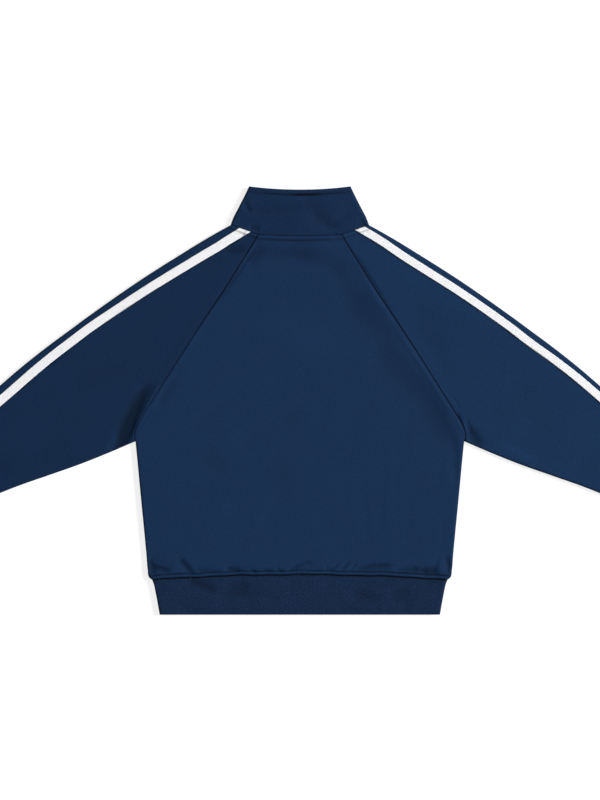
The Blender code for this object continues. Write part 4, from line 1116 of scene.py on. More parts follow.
def sleeve_tape(word, side, material, pieces):
    """White tape sewn along the sleeve beside its top fold, from the neck seam to the cuff seam."""
    width = TAPE_WIDTHS[side]
    rim = np.array((0.0, 0.06, 0.2, 0.5, 1.0))
    stops = np.concatenate([rim, np.linspace(1.8, width - 1.8, 6), width - rim[::-1]])
    x, y = tape_places(side, stops)
    raised = SLEEVE_TAPE_RAISE + SLEEVE_TAPE - turned_down(np.minimum(stops, width - stops), TAPE_ROUND)
    points = np.stack([side * x, y, surface(side * x, y, UPPER) + raised], -1)
    sew("sleeve_tape_%s_woven" % word, points, SLEEVE_TAPE, material, "sleeve_tape_" + word,
        grain=side * SLEEVE_ACROSS, turned=side == LEFT, pieces=pieces)


# Stitching

def stitch_line(points, pitch):
    """Places and directions of the stitches along a line of 3D points, at even spaces."""
    at = run_length(points)
    count = max(1, int(at[-1] / pitch))
    where = (np.arange(count) + 0.5) * at[-1] / count
    places, ahead, behind = (np.stack([np.interp(where + step, at, points[:, k]) for k in range(3)], 1)
                             for step in (0.0, 1.0, -1.0))
    run = ahead - behind
    return places, run / np.linalg.norm(run, axis=1)[:, None]


def stretched(size, middle=(0.0, 0.0, 0.0)):
    """Points and faces of the primitive just added, which goes, stretched to a size round a middle."""
    thing = bpy.context.object
    bpy.ops.object.mode_set(mode="EDIT")
    bpy.ops.transform.resize(value=size)
    bpy.ops.transform.translate(value=middle)
    bpy.ops.object.mode_set(mode="OBJECT")
    points = np.array([vertex.co for vertex in thing.data.vertices])
    faces = [list(face.vertices) for face in thing.data.polygons]
    bpy.data.meshes.remove(thing.data)
    return points, faces


def repeated(faces, count, each):
    """The faces of a shape with so many points each, for as many copies of it."""
    return [[corner + each * copy for corner in face] for copy in range(count) for face in faces]


def stitching(name, lines, material):
    """All the stitches of some seams as one mesh. Each line is 3D points in millimetres."""
    sizes = bpy.context.scene.track_jacket
    width, length = sizes.thread_width / MM, sizes.stitch_length / MM
    bpy.ops.object.select_all(action="DESELECT")
    bpy.ops.mesh.primitive_ico_sphere_add(subdivisions=1, radius=0.5)
    shape, faces = stretched((width, length, THREAD_FLAT * width))
    points = []
    for line in lines:
        places, along = stitch_line(line, sizes.stitch_pitch / MM)
        aside = np.cross(along, (0.0, 0.0, 1.0))
        aside /= np.linalg.norm(aside, axis=1)[:, None]
        up = np.cross(aside, along)
        turned = np.stack([aside, along, up], 1)
        points.append(places[:, None] + np.einsum("vk,nkc->nvc", shape, turned))
    points = np.concatenate(points)
    thing = mesh_object(name, points, repeated(faces, len(points), len(shape)))
    smooth_shading(thing, 80.0)
    return dress(thing, material)


def tape_height(x, y):
    """How much higher the sleeve tapes stand than the cloth, at plan places near the neck."""
    away = line_distance(np.abs(x), y, FOLD_LINES[2])
    height = np.zeros(np.shape(x))
    for side, width in TAPE_WIDTHS.items():
        inner = tape_distance(np.zeros(1), side)
        on_tape = (np.sign(x) == side) & (away > inner) & (away < inner + width)
        height[on_tape] = SLEEVE_TAPE_RAISE + SLEEVE_TAPE
    return height


def sewn(x, y, layer):
    """3D points of a line of stitches that lies on a layer's surface."""
    sunk = STITCH_SUNK * bpy.context.scene.track_jacket.thread_width / MM
    height = tape_height(x, y) if layer == UPPER else 0.0
    return np.stack([x, y, surface(x, y, layer) + layer * (height - sunk)], -1)


def sewn_across(ends, curve, away, layer):
    """Line of stitches between two X, at a distance along Y from a curve."""
    x = np.linspace(*ends, max(2, int(abs(ends[1] - ends[0]) / LINE_STEP)))
    return sewn(x, curve(x) + away, layer)


def sewn_along(x, low, high):
    """Line of stitches up a front, beside the zip."""
    y = np.linspace(low, high, max(2, int((high - low) / LINE_STEP)))
    return sewn(np.full(y.shape, x), y, LOWER)


def topstitch_lines():
    """Lines of the topstitching by name: round the hem, the neck and the collar, and up the fronts."""
    neck, beside_zip = RAGLAN[0], ZIP_EDGE + ZIP_STITCH
    seams = {"hem": [], "neck": [], "collar": [], "front_left": [], "front_right": []}
    for layer in (UPPER, LOWER):
        curves = (("hem", BODY[1].side_x, hem_y, HEM_STITCH),
                  ("neck", neck.fold_x, lambda x: neck_y(x, layer), -NECK_STITCH),
                  ("collar", COLLAR[-1].side_x, lambda x: collar_top_y(x, layer), -COLLAR_STITCH))
        for name, fold_x, curve, away in curves:
            end = fold_x - LINE_END
            spans = [(side * beside_zip, side * end) for side in (LEFT, RIGHT)]
            if layer == UPPER:
                spans = [(-end, end)]
            seams[name] += [sewn_across(span, curve, away, layer) for span in spans]
    hem, throat = BODY[0].mid_y, NECK_FRONT_MID
    for word, side in SIDES:
        for low, high in ((HEM_BOTTOM + 2 * STITCH_CLEAR, hem - STITCH_CLEAR),
                          (hem + STITCH_CLEAR, throat - STITCH_CLEAR),
                          (throat + STITCH_CLEAR, COLLAR_TOPS[LOWER] - COLLAR_STITCH)):
            seams["front_" + word].append(sewn_along(side * beside_zip, low, high))
    return seams


def tape_stitching(word, side, material):
    """A line of stitches along each edge of a sleeve tape."""
    width = TAPE_WIDTHS[side]
    x, y = tape_places(side, (TAPE_STITCH, width - TAPE_STITCH))
    lines = [sewn(side * x[:, k], y[:, k], UPPER) for k in (0, 1)]
    return stitching("sleeve_tape_%s_stitches" % word, lines, material)


# Hard pieces

def add_block(name, low, high):
    """Cube set between two corners, in millimetres."""
    low, high = Vector(low) * MM, Vector(high) * MM
    bpy.ops.object.select_all(action="DESELECT")
    bpy.ops.mesh.primitive_cube_add(size=1.0, location=(low + high) / 2, scale=high - low)
    thing = bpy.context.object
    thing.name = name
    bpy.ops.object.transform_apply(location=True, rotation=True, scale=True)
    return thing


def pick(thing, kind, test):
    """Goes into edit mode and selects the vertices, edges or faces whose every point passes a test."""
    if bpy.context.mode != "EDIT_MESH":
        select_only(thing)
        bpy.ops.object.mode_set(mode="EDIT")
    bpy.ops.mesh.select_mode(type=kind)
    bpy.ops.mesh.select_all(action="DESELECT")
    shape = bmesh.from_edit_mesh(thing.data)
    for element in {"VERT": shape.verts, "EDGE": shape.edges, "FACE": shape.faces}[kind]:
        points = [element.co] if kind == "VERT" else [vertex.co for vertex in element.verts]
        if all(test(point / MM) for point in points):
            element.select_set(True)
    bmesh.update_edit_mesh(thing.data)


def pick_upright(thing, test):
    """Selects the upright edges whose both ends pass a test."""
    pick(thing, "EDGE", test)
    shape = bmesh.from_edit_mesh(thing.data)
    for edge in shape.edges:
        run = edge.verts[0].co - edge.verts[1].co
        edge.select_set(edge.select and abs(run.z) > 0.5 * run.length)
    bmesh.update_edit_mesh(thing.data)


def cut_across(thing, y):
    """Cuts a piece right round at a Y, keeping both halves."""
    pick(thing, "VERT", lambda point: True)
    bpy.ops.mesh.bisect(plane_co=(0.0, y * MM, 0.0), plane_no=(0.0, 1.0, 0.0))


def boolean(thing, operation, others):
    """Unites other pieces with a piece, or cuts them out of it."""
    for other in others:
        change = thing.modifiers.new(other.name, "BOOLEAN")
        change.operation = operation
        change.object = other
    apply_modifiers(thing)
    for other in others:
        bpy.data.meshes.remove(other.data)


def ease_edges(thing, width, steps=2, degrees=40.0):
    """Bevels a finished piece's sharp edges."""
    bevel = thing.modifiers.new("eased_edges", "BEVEL")
    bevel.width = width * MM
    bevel.segments = steps
    bevel.limit_method = "ANGLE"
    bevel.angle_limit = math.radians(degrees)
    apply_modifiers(thing)
    smooth_shading(thing, 35.0)


# Zip

def chain_spread(y):
    """How far each half of the chain moves out above the slider's mouth."""
    return CHAIN_TOP_SPREAD * np.clip((y - CHAIN_PARTS_AT) / (CHAIN_TOP - CHAIN_PARTS_AT), 0.0, 1.0)


def zip_level(x, y):
    """Height of the zip tape's underside."""
    wall = np.interp(y, [row.y for row in ZIP_WALLS], [row.wall for row in ZIP_WALLS])
    return wall + SEAM_GAP + LIFTS[LOWER] * slider_lift(x, y)


def chain_level(y):
    """Height of the chain's underside on the centre line."""
    return float(zip_level(0.0, y)) + ZIP_TAPE_MIDDLE - CHAIN_DEPTH / 2


def zip_half(word, side, material, plastic):
    """Woven tape of one zip half, inside the front's edge, with its coil."""
    y = np.linspace(ZIP_WALLS[0].y, ZIP_WALLS[-1].y, 190)[:, None]
    inner = ZIP_TAPE_INNER + chain_spread(y)
    shares = np.array((0.0, 0.03, 0.12, 0.25, 0.5, 0.75, 0.88, 0.97, 1.0))
    x = mix(inner, ZIP_TAPE_OUTER, shares)
    rounded = turned_down(np.minimum(x - inner, ZIP_TAPE_OUTER - x), ZIP_TAPE_ROUND)
    z = zip_level(x, y) + ZIP_TAPE_MIDDLE - ZIP_TAPE / 2 + rounded
    points = np.stack([side * x, np.broadcast_to(y, x.shape), z], -1)
    thing = cloth("zip_tape_%s_woven" % word, points, ZIP_TAPE, grain=0.0, ring=False, turned=side == RIGHT)
    dress(thing, material, replaces=["zip_tape_" + word])
    lay(points, ring=False, pieces=[zip_coil(word, side, plastic)])


def zip_coil(word, side, material):
    """One half of the chain: coil turns that reach between the other half's."""
    pitch = bpy.context.scene.track_jacket.coil_pitch / MM
    low, high = -COIL_OVERLAP, CHAIN_GAP / 2 + CHAIN_WIDTH
    bpy.ops.object.select_all(action="DESELECT")
    bpy.ops.mesh.primitive_cylinder_add(vertices=8, radius=0.5, depth=1.0, rotation=(0.0, math.pi / 2, 0.0))
    bpy.ops.object.transform_apply(location=True, rotation=True, scale=True)
    shape, faces = stretched((high - low, COIL_TURN * pitch, CHAIN_DEPTH), ((high + low) / 2, 0.0, 0.0))
    first = CHAIN_BOTTOM + (0.5 if side == LEFT else 1.0) * pitch
    places = np.arange(first, CHAIN_TOP - 0.5 * pitch, pitch)
    middle = zip_level(0.0 * places, places) + ZIP_TAPE_MIDDLE
    centres = np.stack([chain_spread(places), places, middle], -1)
    points = (shape + centres[:, None]) * (side, 1.0, 1.0)
    if side == LEFT:
        faces = [face[::-1] for face in faces]
    thing = mesh_object("zip_coil_" + word, points, repeated(faces, len(places), len(shape)))
    smooth_shading(thing, 60.0)
    return dress(thing, material, replaces=["zip_chain_" + word])


def zip_stop(word, side, material):
    """Metal stop above the slider, clamped on one tape."""
    inner = CHAIN_GAP / 2 + CHAIN_TOP_SPREAD
    low_x, high_x = sorted((side * inner, side * (inner + CHAIN_WIDTH)))
    low_y, low_z = CHAIN_TOP + SEAM_GAP, chain_level(CHAIN_TOP) - SEAM_GAP
    thing = add_block("zip_stop_%s_metal" % word, (low_x, low_y, low_z),
                      (high_x, low_y + STOP_LENGTH, low_z + CHAIN_DEPTH + 2 * SEAM_GAP))
    pick(thing, "EDGE", lambda point: True)
    bpy.ops.mesh.bevel(offset=STOP_EDGE * MM, segments=3, affect="EDGES")
    bpy.ops.object.mode_set(mode="OBJECT")
    smooth_shading(thing, 35.0)
    return dress(thing, material, replaces=["zip_stop_" + word])


def zip_box(material):
    """Box at the hem that joins the two halves, with the groove round it where its pin goes in."""
    half = CHAIN_GAP / 2 + CHAIN_WIDTH
    low_z, top = chain_level(CHAIN_BOTTOM) - SEAM_GAP, CHAIN_BOTTOM - SEAM_GAP
    thing = add_block("zip_box_metal", (-half, top - BOX_LENGTH, low_z),
                      (half, top, low_z + CHAIN_DEPTH + 2 * SEAM_GAP))
    near, far, depth = BOX_GROOVE
    groove = add_block("groove", (-half - 1.0, top - far, low_z - 1.0),
                       (half + 1.0, top - near, low_z + depth))
    slot_half, end, depth = BOX_SLOT
    slot = add_block("slot", (-slot_half, top - BOX_LENGTH + end, low_z - 1.0),
                     (slot_half, top + 1.0, low_z + depth))
    boolean(thing, "DIFFERENCE", [groove, slot])
    ease_edges(thing, 0.12)
    return dress(thing, material, replaces=["zip_box"])


def slider_plate(name, low_z):
    """One plate of the slider, wider at the front where the two halves of the chain part."""
    rear, front = SLIDER_Y - SLIDER_LENGTH / 2, SLIDER_Y + SLIDER_LENGTH / 2
    thing = add_block(name, (-SLIDER_REAR_HALF, rear, low_z), (SLIDER_REAR_HALF, front, low_z + SLIDER_PLATE))
    for y in SLIDER_FLARE:
        cut_across(thing, SLIDER_Y + y)
    flare = SLIDER_FRONT_HALF / SLIDER_REAR_HALF
    pick(thing, "VERT", lambda point: point.y > SLIDER_Y + SLIDER_FLARE[1] - 0.1)
    bpy.ops.transform.resize(value=(flare, 1.0, 1.0), center_override=(0.0, 0.0, 0.0))
    for y, width in ((rear, SLIDER_REAR_CORNER), (front, SLIDER_NOSE_CORNER)):
        pick_upright(thing, lambda point: abs(point.y - y) < HAIR)
        bpy.ops.mesh.bevel(offset=width * MM, segments=4, affect="EDGES")
    bpy.ops.object.mode_set(mode="OBJECT")
    return thing


def zip_slider(material):
    """Slider: two plates with rims, joined by a post, and a bail under the outer plate."""
    chain = chain_level(SLIDER_Y)
    outer_z = chain - SLIDER_CLEAR - SLIDER_PLATE
    inner_z = chain + CHAIN_DEPTH + SLIDER_CLEAR
    thing = slider_plate("zip_slider_metal", outer_z)
    parts = [slider_plate("inner_plate", inner_z)]
    parts.append(add_block("post", (-POST_HALF, SLIDER_Y + POST_SPAN[0], outer_z + JOIN),
                           (POST_HALF, SLIDER_Y + POST_SPAN[1], inner_z + JOIN)))
    low_y, high_y = SLIDER_Y - SLIDER_LENGTH / 2 + RIM_INSET, SLIDER_Y + SLIDER_FLARE[0]
    for side in (LEFT, RIGHT):
        low_x, high_x = sorted((side * (SLIDER_REAR_HALF - RIM_WIDTH), side * (SLIDER_REAR_HALF - HAIR)))
        for low_z, high_z in ((outer_z + JOIN, chain + RIM_HEIGHT),
                              (chain + CHAIN_DEPTH - RIM_HEIGHT, inner_z + JOIN)):
            parts.append(add_block("rim", (low_x, low_y, low_z), (high_x, high_y, high_z)))
    half, reach = BAIL_WIDTH / 2, BAIL_LENGTH / 2
    bail = add_block("bail", (-half, SLIDER_Y - reach, 0.0), (half, SLIDER_Y + reach, BAIL_DEPTH))
    for y in (BAIL_FOOT - reach, reach - BAIL_FOOT):
        cut_across(bail, SLIDER_Y + y)
    inside = reach - BAIL_FOOT - HAIR
    pick(bail, "FACE", lambda point: point.z > BAIL_DEPTH - HAIR and abs(point.y - SLIDER_Y) > inside)
    rise = (outer_z + BAIL_JOIN - BAIL_DEPTH) * MM
    bpy.ops.mesh.extrude_region_move(TRANSFORM_OT_translate={"value": (0.0, 0.0, rise)})
    bpy.ops.object.mode_set(mode="OBJECT")
    boolean(thing, "UNION", parts + [bail])
    ease_edges(thing, 0.18)
    return dress(thing, material, replaces=["zip_slider"])


def pull_tab(material):
    """Pull tab: a plate with a window for the bail, drawn in below its shoulders, with a sunk panel."""
    axis_z = (BAIL_DEPTH + chain_level(SLIDER_Y) - SLIDER_CLEAR - SLIDER_PLATE) / 2
    half, thick = TAB_WIDTH / 2, TAB_DEPTH / 2
    end, waist = SLIDER_Y - TAB_LENGTH, SLIDER_Y - TAB_WAIST[0]
    thing = add_block("zip_pull_tab_metal", (-half, end, axis_z - thick),
                      (half, SLIDER_Y + thick, axis_z + thick))
    for y in (SLIDER_Y - TAB_SHOULDER, waist):
        cut_across(thing, y)
    pick(thing, "VERT", lambda point: point.y < waist + 0.1)
    narrow = (half - TAB_WAIST[1]) / half
    bpy.ops.transform.resize(value=(narrow, 1.0, 1.0), center_override=(0.0, 0.0, 0.0))
    pick_upright(thing, lambda point: point.y < end + 0.1)
    bpy.ops.mesh.bevel(offset=TAB_TIP * MM, segments=6, affect="EDGES")
    pick(thing, "FACE", lambda point: point.z < axis_z - thick + HAIR and point.y < waist + 0.1)
    bpy.ops.mesh.inset(thickness=TAB_PANEL[0] * MM)
    bpy.ops.transform.translate(value=(0.0, 0.0, TAB_PANEL[1] * MM))
    bpy.ops.object.mode_set(mode="OBJECT")
    window_half, top = TAB_WINDOW[0] / 2, SLIDER_Y - thick
    window = add_block("window", (-window_half, top - TAB_WINDOW[1], axis_z - 2.0),
                       (window_half, top, axis_z + 2.0))
    boolean(thing, "DIFFERENCE", [window])
    ease_edges(thing, 0.2)
    return dress(thing, material, body="pull_tab", replaces=["zip_pull_tab"])


# Finishes

def finish(name, colour, roughness, metallic=0.0):
    """New material with a plain surface, and its shader."""
    material = bpy.data.materials.new(name)
    material.use_nodes = True
    shader = material.node_tree.nodes["Principled BSDF"]
    shader.inputs["Base Color"].default_value = (*colour, 1.0)
    shader.inputs["Roughness"].default_value = roughness
    shader.inputs["Metallic"].default_value = metallic
    return material, shader


def add(material, kind, **settings):
    """New node of a material, with its settings."""
    made = material.node_tree.nodes.new(kind)
    for name, value in settings.items():
        setattr(made, name, value)
    return made


def join_up(material, source, socket):
    """Links an output to an input."""
    material.node_tree.links.new(source, socket)


def reckon(material, operation, *values):
    """Maths node on sockets and numbers, and its result."""
    made = add(material, "ShaderNodeMath", operation=operation)
    for socket, value in zip(made.inputs, values):
        if isinstance(value, bpy.types.NodeSocket):
            join_up(material, value, socket)
        else:
            socket.default_value = value
    return made.outputs[0]


def cloth_place(material):
    """Distances across and along the cloth, in metres."""
    place = add(material, "ShaderNodeUVMap", uv_map=CLOTH_MAP)
    parts = add(material, "ShaderNodeSeparateXYZ")
    join_up(material, place.outputs["UV"], parts.inputs[0])
    return place.outputs["UV"], parts.outputs["X"], parts.outputs["Y"]


def zigzag(material, value, pitch):
    """0 at the middle of each repeat and 1 where it meets the next."""
    share = reckon(material, "FRACT", reckon(material, "DIVIDE", value, pitch))
    return reckon(material, "ABSOLUTE", reckon(material, "MULTIPLY_ADD", share, 2.0, -1.0))


def patches(material, place, size, detail=2.0):
    """Noise from 0 to 1, in soft patches of a size in metres."""
    noise = add(material, "ShaderNodeTexNoise")
    noise.inputs["Scale"].default_value = 1.0 / size
    noise.inputs["Detail"].default_value = detail
    join_up(material, place, noise.inputs["Vector"])
    return noise.outputs["Fac"]


def clouded(material, place, size, strength):
    """Fine speckle, with broad clouds of a size over it."""
    broad = reckon(material, "MULTIPLY_ADD", patches(material, place, size), 0.5 * strength, -0.25 * strength)
    return reckon(material, "ADD", patches(material, place, SPECKLE_SIZE), broad)


def shaded(material, shader, colour, amount, value):
    """Makes the colour darker and lighter by an amount as a value runs from 0 to 1, and paints into it the
    shade and light that the piece's attribute holds.
    """
    painted_shade = add(material, "ShaderNodeAttribute", attribute_name=PAINTED_SHADE)
    light = reckon(material, "MULTIPLY_ADD", value, 2.0 * amount, 1.0 - amount)
    light = reckon(material, "MULTIPLY", light, reckon(material, "SUBTRACT", 1.0, painted_shade.outputs["Fac"]))
    scaled = add(material, "ShaderNodeVectorMath", operation="SCALE")
    scaled.inputs[0].default_value = colour
    join_up(material, light, scaled.inputs["Scale"])
    join_up(material, scaled.outputs["Vector"], shader.inputs["Base Color"])


def relief(material, shader, *layers):
    """Bump from heights, each with its depth in metres."""
    before = None
    for height, depth in layers:
        bump = add(material, "ShaderNodeBump")
        bump.inputs["Distance"].default_value = depth
        join_up(material, height, bump.inputs["Height"])
        if before:
            join_up(material, before, bump.inputs["Normal"])
        before = bump.outputs["Normal"]
    join_up(material, before, shader.inputs["Normal"])


def knitted(name, colour, roughness, sheen_roughness, sheen_tint):
    """Finish of a knitted cloth with a soft sheen, and where its stitches are reckoned from."""
    material, shader = finish(name, colour, roughness)
    sheen = {
        "Sheen Weight": bpy.context.scene.track_jacket.cloth_sheen,
        "Sheen Roughness": sheen_roughness,
        "Sheen Tint": (*sheen_tint, 1.0),
        "Specular IOR Level": 0.06,
    }
    for socket, value in sheen.items():
        shader.inputs[socket].default_value = value
    return material, shader, *cloth_place(material)


def flipped(material, value):
    """1 less a value, which makes a groove a ridge."""
    return reckon(material, "SUBTRACT", 1.0, value)


def knit(name, shade, speckle=BODY_SPECKLE):
    """Smooth knit of the body, sleeves and collar: fine V-shaped stitches in columns."""
    sizes = bpy.context.scene.track_jacket
    # each panel's copy of the knit is made lighter or darker by its painted light or shade
    colour = [channel * shade for channel in sizes.cloth_colour]
    material, shader, place, across_it, along_it = knitted(name, colour, 0.78, 0.45, (0.35, 0.5, 0.8))
    column = zigzag(material, across_it, sizes.knit_pitch)
    slanted = reckon(material, "MULTIPLY_ADD", column, 0.5 * sizes.knit_pitch, along_it)
    course = zigzag(material, slanted, 0.8 * sizes.knit_pitch)
    wale = reckon(material, "POWER", column, 3.0)
    height = flipped(material, reckon(material, "ADD", wale, reckon(material, "MULTIPLY", course, 0.6)))
    relief(material, shader, (patches(material, place, 0.007, 3.0), 0.00022), (height, 0.00007))
    shaded(material, shader, colour, speckle, clouded(material, place, 0.05, KNIT_CLOUDS / speckle))
    return material


def rib_knit(name):
    """Heathered rib of the hem band and cuffs, its ribs along the grain."""
    sizes = bpy.context.scene.track_jacket
    colour = list(sizes.rib_colour)
    material, shader, place, across_it, along_it = knitted(name, colour, 0.85, 0.5, (0.4, 0.5, 0.75))
    rib = reckon(material, "POWER", zigzag(material, across_it, sizes.rib_pitch), 2.0)
    half_ribs = zigzag(material, across_it, sizes.rib_pitch / 2)
    stitch = zigzag(material, reckon(material, "MULTIPLY_ADD", half_ribs, 0.0004, along_it), 0.0011)
    uneven = patches(material, place, 0.009, 3.0)
    relief(material, shader, (uneven, 0.0004), (flipped(material, rib), 0.0002),
           (flipped(material, stitch), 0.00006))
    shaded(material, shader, colour, 1.0, clouded(material, place, 0.03, 0.35))
    return material


def woven(name, colour, pitch, depth, roughness):
    """Close weave of a tape: small slanted steps."""
    material, shader = finish(name, colour, roughness)
    place, across_it, along_it = cloth_place(material)
    steps = reckon(material, "MULTIPLY", zigzag(material, across_it, 6.0 * pitch), 3.0 * pitch)
    slanted = reckon(material, "ADD", steps, along_it)
    thread = reckon(material, "ADD", zigzag(material, slanted, pitch), zigzag(material, across_it, pitch))
    relief(material, shader, (flipped(material, thread), depth))
    shaded(material, shader, colour, 0.02, patches(material, place, 0.004))
    return material


def worn(name, colour, roughness, metallic):
    """Plastic or metal with a surface that isn't quite even."""
    material, shader = finish(name, colour, roughness, metallic)
    place = add(material, "ShaderNodeTexCoord").outputs["Object"]
    rough = reckon(material, "MULTIPLY_ADD", patches(material, place, 0.002, 4.0), 0.25, roughness - 0.1)
    join_up(material, rough, shader.inputs["Roughness"])
    return material


def floor_finish():
    """Pale floor that glows a little, so that shadows on it are faint, but not under the jacket, where the
    glow would show through its seams."""
    sizes = bpy.context.scene.track_jacket
    material, shader = finish("floor", sizes.floor_colour, 0.9)
    shader.inputs["Emission Color"].default_value = (1.0, 1.0, 1.0, 1.0)
    place = add(material, "ShaderNodeTexCoord").outputs["Object"]
    scaled = add(material, "ShaderNodeVectorMath", operation="DIVIDE")
    scaled.inputs[1].default_value = (*UNDER_JACKET, 1.0)
    join_up(material, place, scaled.inputs[0])
    away = add(material, "ShaderNodeVectorMath", operation="LENGTH")
    join_up(material, scaled.outputs["Vector"], away.inputs[0])
    outside = reckon(material, "GREATER_THAN", away.outputs["Value"], 1.0)
    glow = reckon(material, "MULTIPLY", outside, sizes.floor_glow)
    join_up(material, glow, shader.inputs["Emission Strength"])
    return material


# Add-on

def a_size(name, description, millimetres):
    """Length for the panel, given in millimetres."""
    return FloatProperty(name=name, description=description, default=millimetres * MM, min=0.0,
                         precision=5, unit="LENGTH")


def a_share(name, description, default, high=2.0):
    """Share of something, from nothing up to high."""
    return FloatProperty(name=name, description=description, default=default, min=0.0, max=high,
                         subtype="FACTOR")


def a_colour(name, description, default):
    """Colour for the panel."""
    return FloatVectorProperty(name=name, description=description, default=default, min=0.0, max=1.0,
                               subtype="COLOR")


def a_power(name, description, default):
    """Power of a light in watts."""
    return FloatProperty(name=name, description=description, default=default, min=0.0, unit="POWER")


class TrackJacketSettings(bpy.types.PropertyGroup):
    """Sizes and colours of the jacket and its stage."""
    cloth_colour: a_colour("Cloth", "Knit of the body, sleeves and collar", (0.0046, 0.0194, 0.0560))
    rib_colour: a_colour("Rib", "Rib of the hem band and cuffs", (0.0044, 0.0145, 0.0415))
    tape_colour: a_colour("Sleeve tape", "Tape along each sleeve", (0.68, 0.68, 0.695))
    zip_colour: a_colour("Zip tape and coil", "Woven tape and coil of the zip", (0.0085, 0.0205, 0.0500))
    thread_colour: a_colour("Thread", "Topstitching", (0.0044, 0.0130, 0.0370))
    tape_thread_colour: a_colour("Tape thread", "Stitches along the sleeve tapes", (0.62, 0.62, 0.65))
    metal_colour: a_colour("Metal", "Slider, pull tab, stops and box", (0.60, 0.60, 0.62))
    floor_colour: a_colour("Floor", "Surface the jacket lies on", (0.25, 0.25, 0.25))
    # Painted light and shade: the sleeves' and the collar's copies of the knit, lighter or darker than the
    # body's
    left_sleeve_painted_shade: a_share("Left sleeve shade", "Colour of the sleeve at -X against the body's", 0.80)
    right_sleeve_painted_light: a_share("Right sleeve shade", "Colour of the sleeve at +X against the body's", 1.08)
    collar_painted_shade: a_share("Collar shade", "Colour of the collar against the body's", 0.85)
    cloth_sheen: a_share("Cloth sheen", "How much the knit lightens at a slant", 0.06, 1.0)
    crease_strength: a_share("Crease strength", "Depth of every crease, as a share of its own", 1.0, 3.0)
    seam_radius: a_size("Seam radius", "Roundness of cloth that turns down into a seam", 1.4)
    stitch_depth: a_size("Stitch depth", "How deep topstitching is pressed in", 0.5)
    # Painted shade along the seams and the topstitching and in the creases, taken off the knit's colour
    seam_painted_shade: a_share("Seam shade", "Darkness along the seams", 0.62, 1.0)
    stitch_painted_shade: a_share("Stitch shade", "Darkness along the topstitching", 0.6, 1.0)
    crease_painted_shade: a_share("Crease shade", "Darkness in the deepest creases", 0.5, 1.0)
    stitch_pitch: a_size("Stitch pitch", "From one stitch to the next", 2.8)
    stitch_length: a_size("Stitch length", "Length of one stitch", 2.2)
    thread_width: a_size("Thread width", "Thickness of the topstitching thread", 0.45)
    knit_pitch: a_size("Knit pitch", "From one column of the knit to the next", 1.1)
    rib_pitch: a_size("Rib pitch", "From one rib to the next", 1.6)
    coil_pitch: a_size("Coil pitch", "From one turn of the zip's coil to the next", 1.5)
    key_power: a_power("Key light", "Soft light from the right", 7600.0)
    fill_power: a_power("Fill light", "Broad light from overhead", 40.0)
    surround: a_share("Surround", "Light from all round", 0.25)
    floor_glow: a_share("Floor glow", "Light of the floor's own, which keeps shadows on it faint", 0.74)


def thread_finish():
    """The topstitching's thread, made once for all the pieces."""
    sizes = bpy.context.scene.track_jacket
    return bpy.data.materials.get("thread") or finish("thread", sizes.thread_colour, 0.6)[0]


class TRACK_JACKET_OT_body(bpy.types.Operator):
    """Build the back and the two fronts, with the stitching on them"""
    bl_idname = "track_jacket.body"
    bl_label = "Body"

    def execute(self, context):
        material, thread = knit("body_knit", 1.0), thread_finish()
        lines = topstitch_lines()
        made = {name: stitching(name + "_stitches", lines[name], thread)
                for name in ("hem", "neck", "front_left", "front_right")}
        back_panel(material, [made["hem"], made["neck"]])
        for word, side in SIDES:
            front_panel(word, side, material, [made["front_" + word]])
        return {"FINISHED"}


class TRACK_JACKET_OT_collar(bpy.types.Operator):
    """Build the stand collar and its topstitching"""
    bl_idname = "track_jacket.collar"
    bl_label = "Collar"

    def execute(self, context):
        stitches = stitching("collar_stitches", topstitch_lines()["collar"], thread_finish())
        # the collar's copy of the knit is darkened by painted shade
        collar(knit("collar_knit", context.scene.track_jacket.collar_painted_shade, COLLAR_SPECKLE), [stitches])
        return {"FINISHED"}


class TRACK_JACKET_OT_ribs(bpy.types.Operator):
    """Build the hem band and the cuffs"""
    bl_idname = "track_jacket.ribs"
    bl_label = "Ribs"

    def execute(self, context):
        material = rib_knit("rib")
        hem_band(material)
        for word, side in SIDES:
            cuff(word, side, material)
        return {"FINISHED"}


class TRACK_JACKET_OT_sleeves(bpy.types.Operator):
    """Build the sleeves, and the tape with its stitches along each"""
    bl_idname = "track_jacket.sleeves"
    bl_label = "Sleeves"

    def execute(self, context):
        sizes = context.scene.track_jacket
        tape = woven("sleeve_tape_weave", list(sizes.tape_colour), 0.0006, 0.00008, 0.75)
        thread = finish("tape_thread", sizes.tape_thread_colour, 0.6)[0]
        # painted shade and light of each sleeve's copy of the knit
        shades = {LEFT: sizes.left_sleeve_painted_shade, RIGHT: sizes.right_sleeve_painted_light}
        for word, side in SIDES:
            sleeve(word, side, knit("sleeve_%s_knit" % word, shades[side]))
            sleeve_tape(word, side, tape, [tape_stitching(word, side, thread)])
        return {"FINISHED"}


class TRACK_JACKET_OT_zip(bpy.types.Operator):
    """Build the zip: tapes, coils, stops, box, slider and pull tab"""
    bl_idname = "track_jacket.zip"
    bl_label = "Zip"

    def execute(self, context):
        sizes = context.scene.track_jacket
        tape = woven("zip_tape_weave", list(sizes.zip_colour), 0.0007, 0.00008, 0.8)
        plastic = worn("coil_plastic", sizes.zip_colour, 0.4, 0.0)
        metal = worn("zip_metal", sizes.metal_colour, 0.32, 1.0)
        for word, side in SIDES:
            zip_half(word, side, tape, plastic)
            zip_stop(word, side, metal)
        zip_box(metal)
        zip_slider(metal)
        pull_tab(metal)
        return {"FINISHED"}


def aimed_light(name, place, width, watts):
    """Square area light that faces the jacket."""
    bpy.ops.object.light_add(type="AREA", location=place)
    light = bpy.context.object
    light.name = name
    light.data.size = width
    light.data.energy = watts
    light.rotation_euler = Vector(place).to_track_quat("Z", "Y").to_euler()


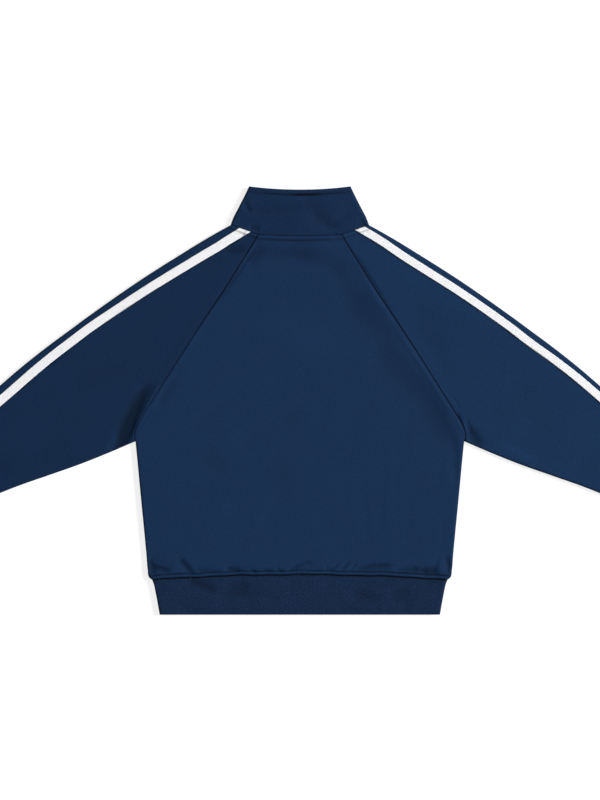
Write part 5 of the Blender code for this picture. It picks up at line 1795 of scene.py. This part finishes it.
class TRACK_JACKET_OT_stage(bpy.types.Operator):
    """Build the floor, the lights and the camera"""
    bl_idname = "track_jacket.stage"
    bl_label = "Stage"

    def execute(self, context):
        sizes = context.scene.track_jacket
        bpy.ops.mesh.primitive_plane_add(size=FLOOR_WIDTH, location=(0.0, 0.0, -FLOOR_DROP))
        floor = context.object
        floor.name = "floor"
        floor.data.materials.append(floor_finish())
        aimed_light("key_light", place=(17.0, 3.2, 8.0), width=4.8, watts=sizes.key_power)
        aimed_light("fill_light", place=(-0.6, -0.4, 3.6), width=3.0, watts=sizes.fill_power)
        context.scene.world = context.scene.world or bpy.data.worlds.new("surround")
        context.scene.world.use_nodes = True
        background = context.scene.world.node_tree.nodes["Background"]
        background.inputs["Color"].default_value = (1.0, 1.0, 1.0, 1.0)
        background.inputs["Strength"].default_value = sizes.surround
        bpy.ops.object.camera_add(location=CAMERA_PLACE, rotation=(0.0, 0.0, 0.0))
        camera = context.object
        camera.data.sensor_fit = "VERTICAL"
        camera.data.sensor_height = 36.0
        camera.data.lens = 85.0
        camera.data.clip_end = 50.0
        context.scene.camera = camera
        context.scene.view_settings.view_transform = "Standard"
        return {"FINISHED"}


OPERATORS = (TRACK_JACKET_OT_body, TRACK_JACKET_OT_collar, TRACK_JACKET_OT_ribs, TRACK_JACKET_OT_sleeves,
             TRACK_JACKET_OT_zip, TRACK_JACKET_OT_stage)


class TRACK_JACKET_PT_panel(bpy.types.Panel):
    """Lists the parts of the jacket and its sizes"""
    bl_idname = "TRACK_JACKET_PT_panel"
    bl_label = "Track Jacket"
    bl_space_type = "VIEW_3D"
    bl_region_type = "UI"
    bl_category = "Track Jacket"

    def draw(self, context):
        for operator in OPERATORS:
            self.layout.operator(operator.bl_idname)
        for name in TrackJacketSettings.__annotations__:
            self.layout.prop(context.scene.track_jacket, name)


CLASSES = (TrackJacketSettings, *OPERATORS, TRACK_JACKET_PT_panel)


def register():
    for made in CLASSES:
        bpy.utils.register_class(made)
    bpy.types.Scene.track_jacket = PointerProperty(type=TrackJacketSettings)


def unregister():
    del bpy.types.Scene.track_jacket
    for made in reversed(CLASSES):
        bpy.utils.unregister_class(made)


def main():
    register()
    bpy.ops.object.select_all(action="DESELECT")
    for name in ("body", "collar", "ribs", "sleeves", "zip", "stage"):
        getattr(bpy.ops.track_jacket, name)()


if __name__ == "__main__":
    main()
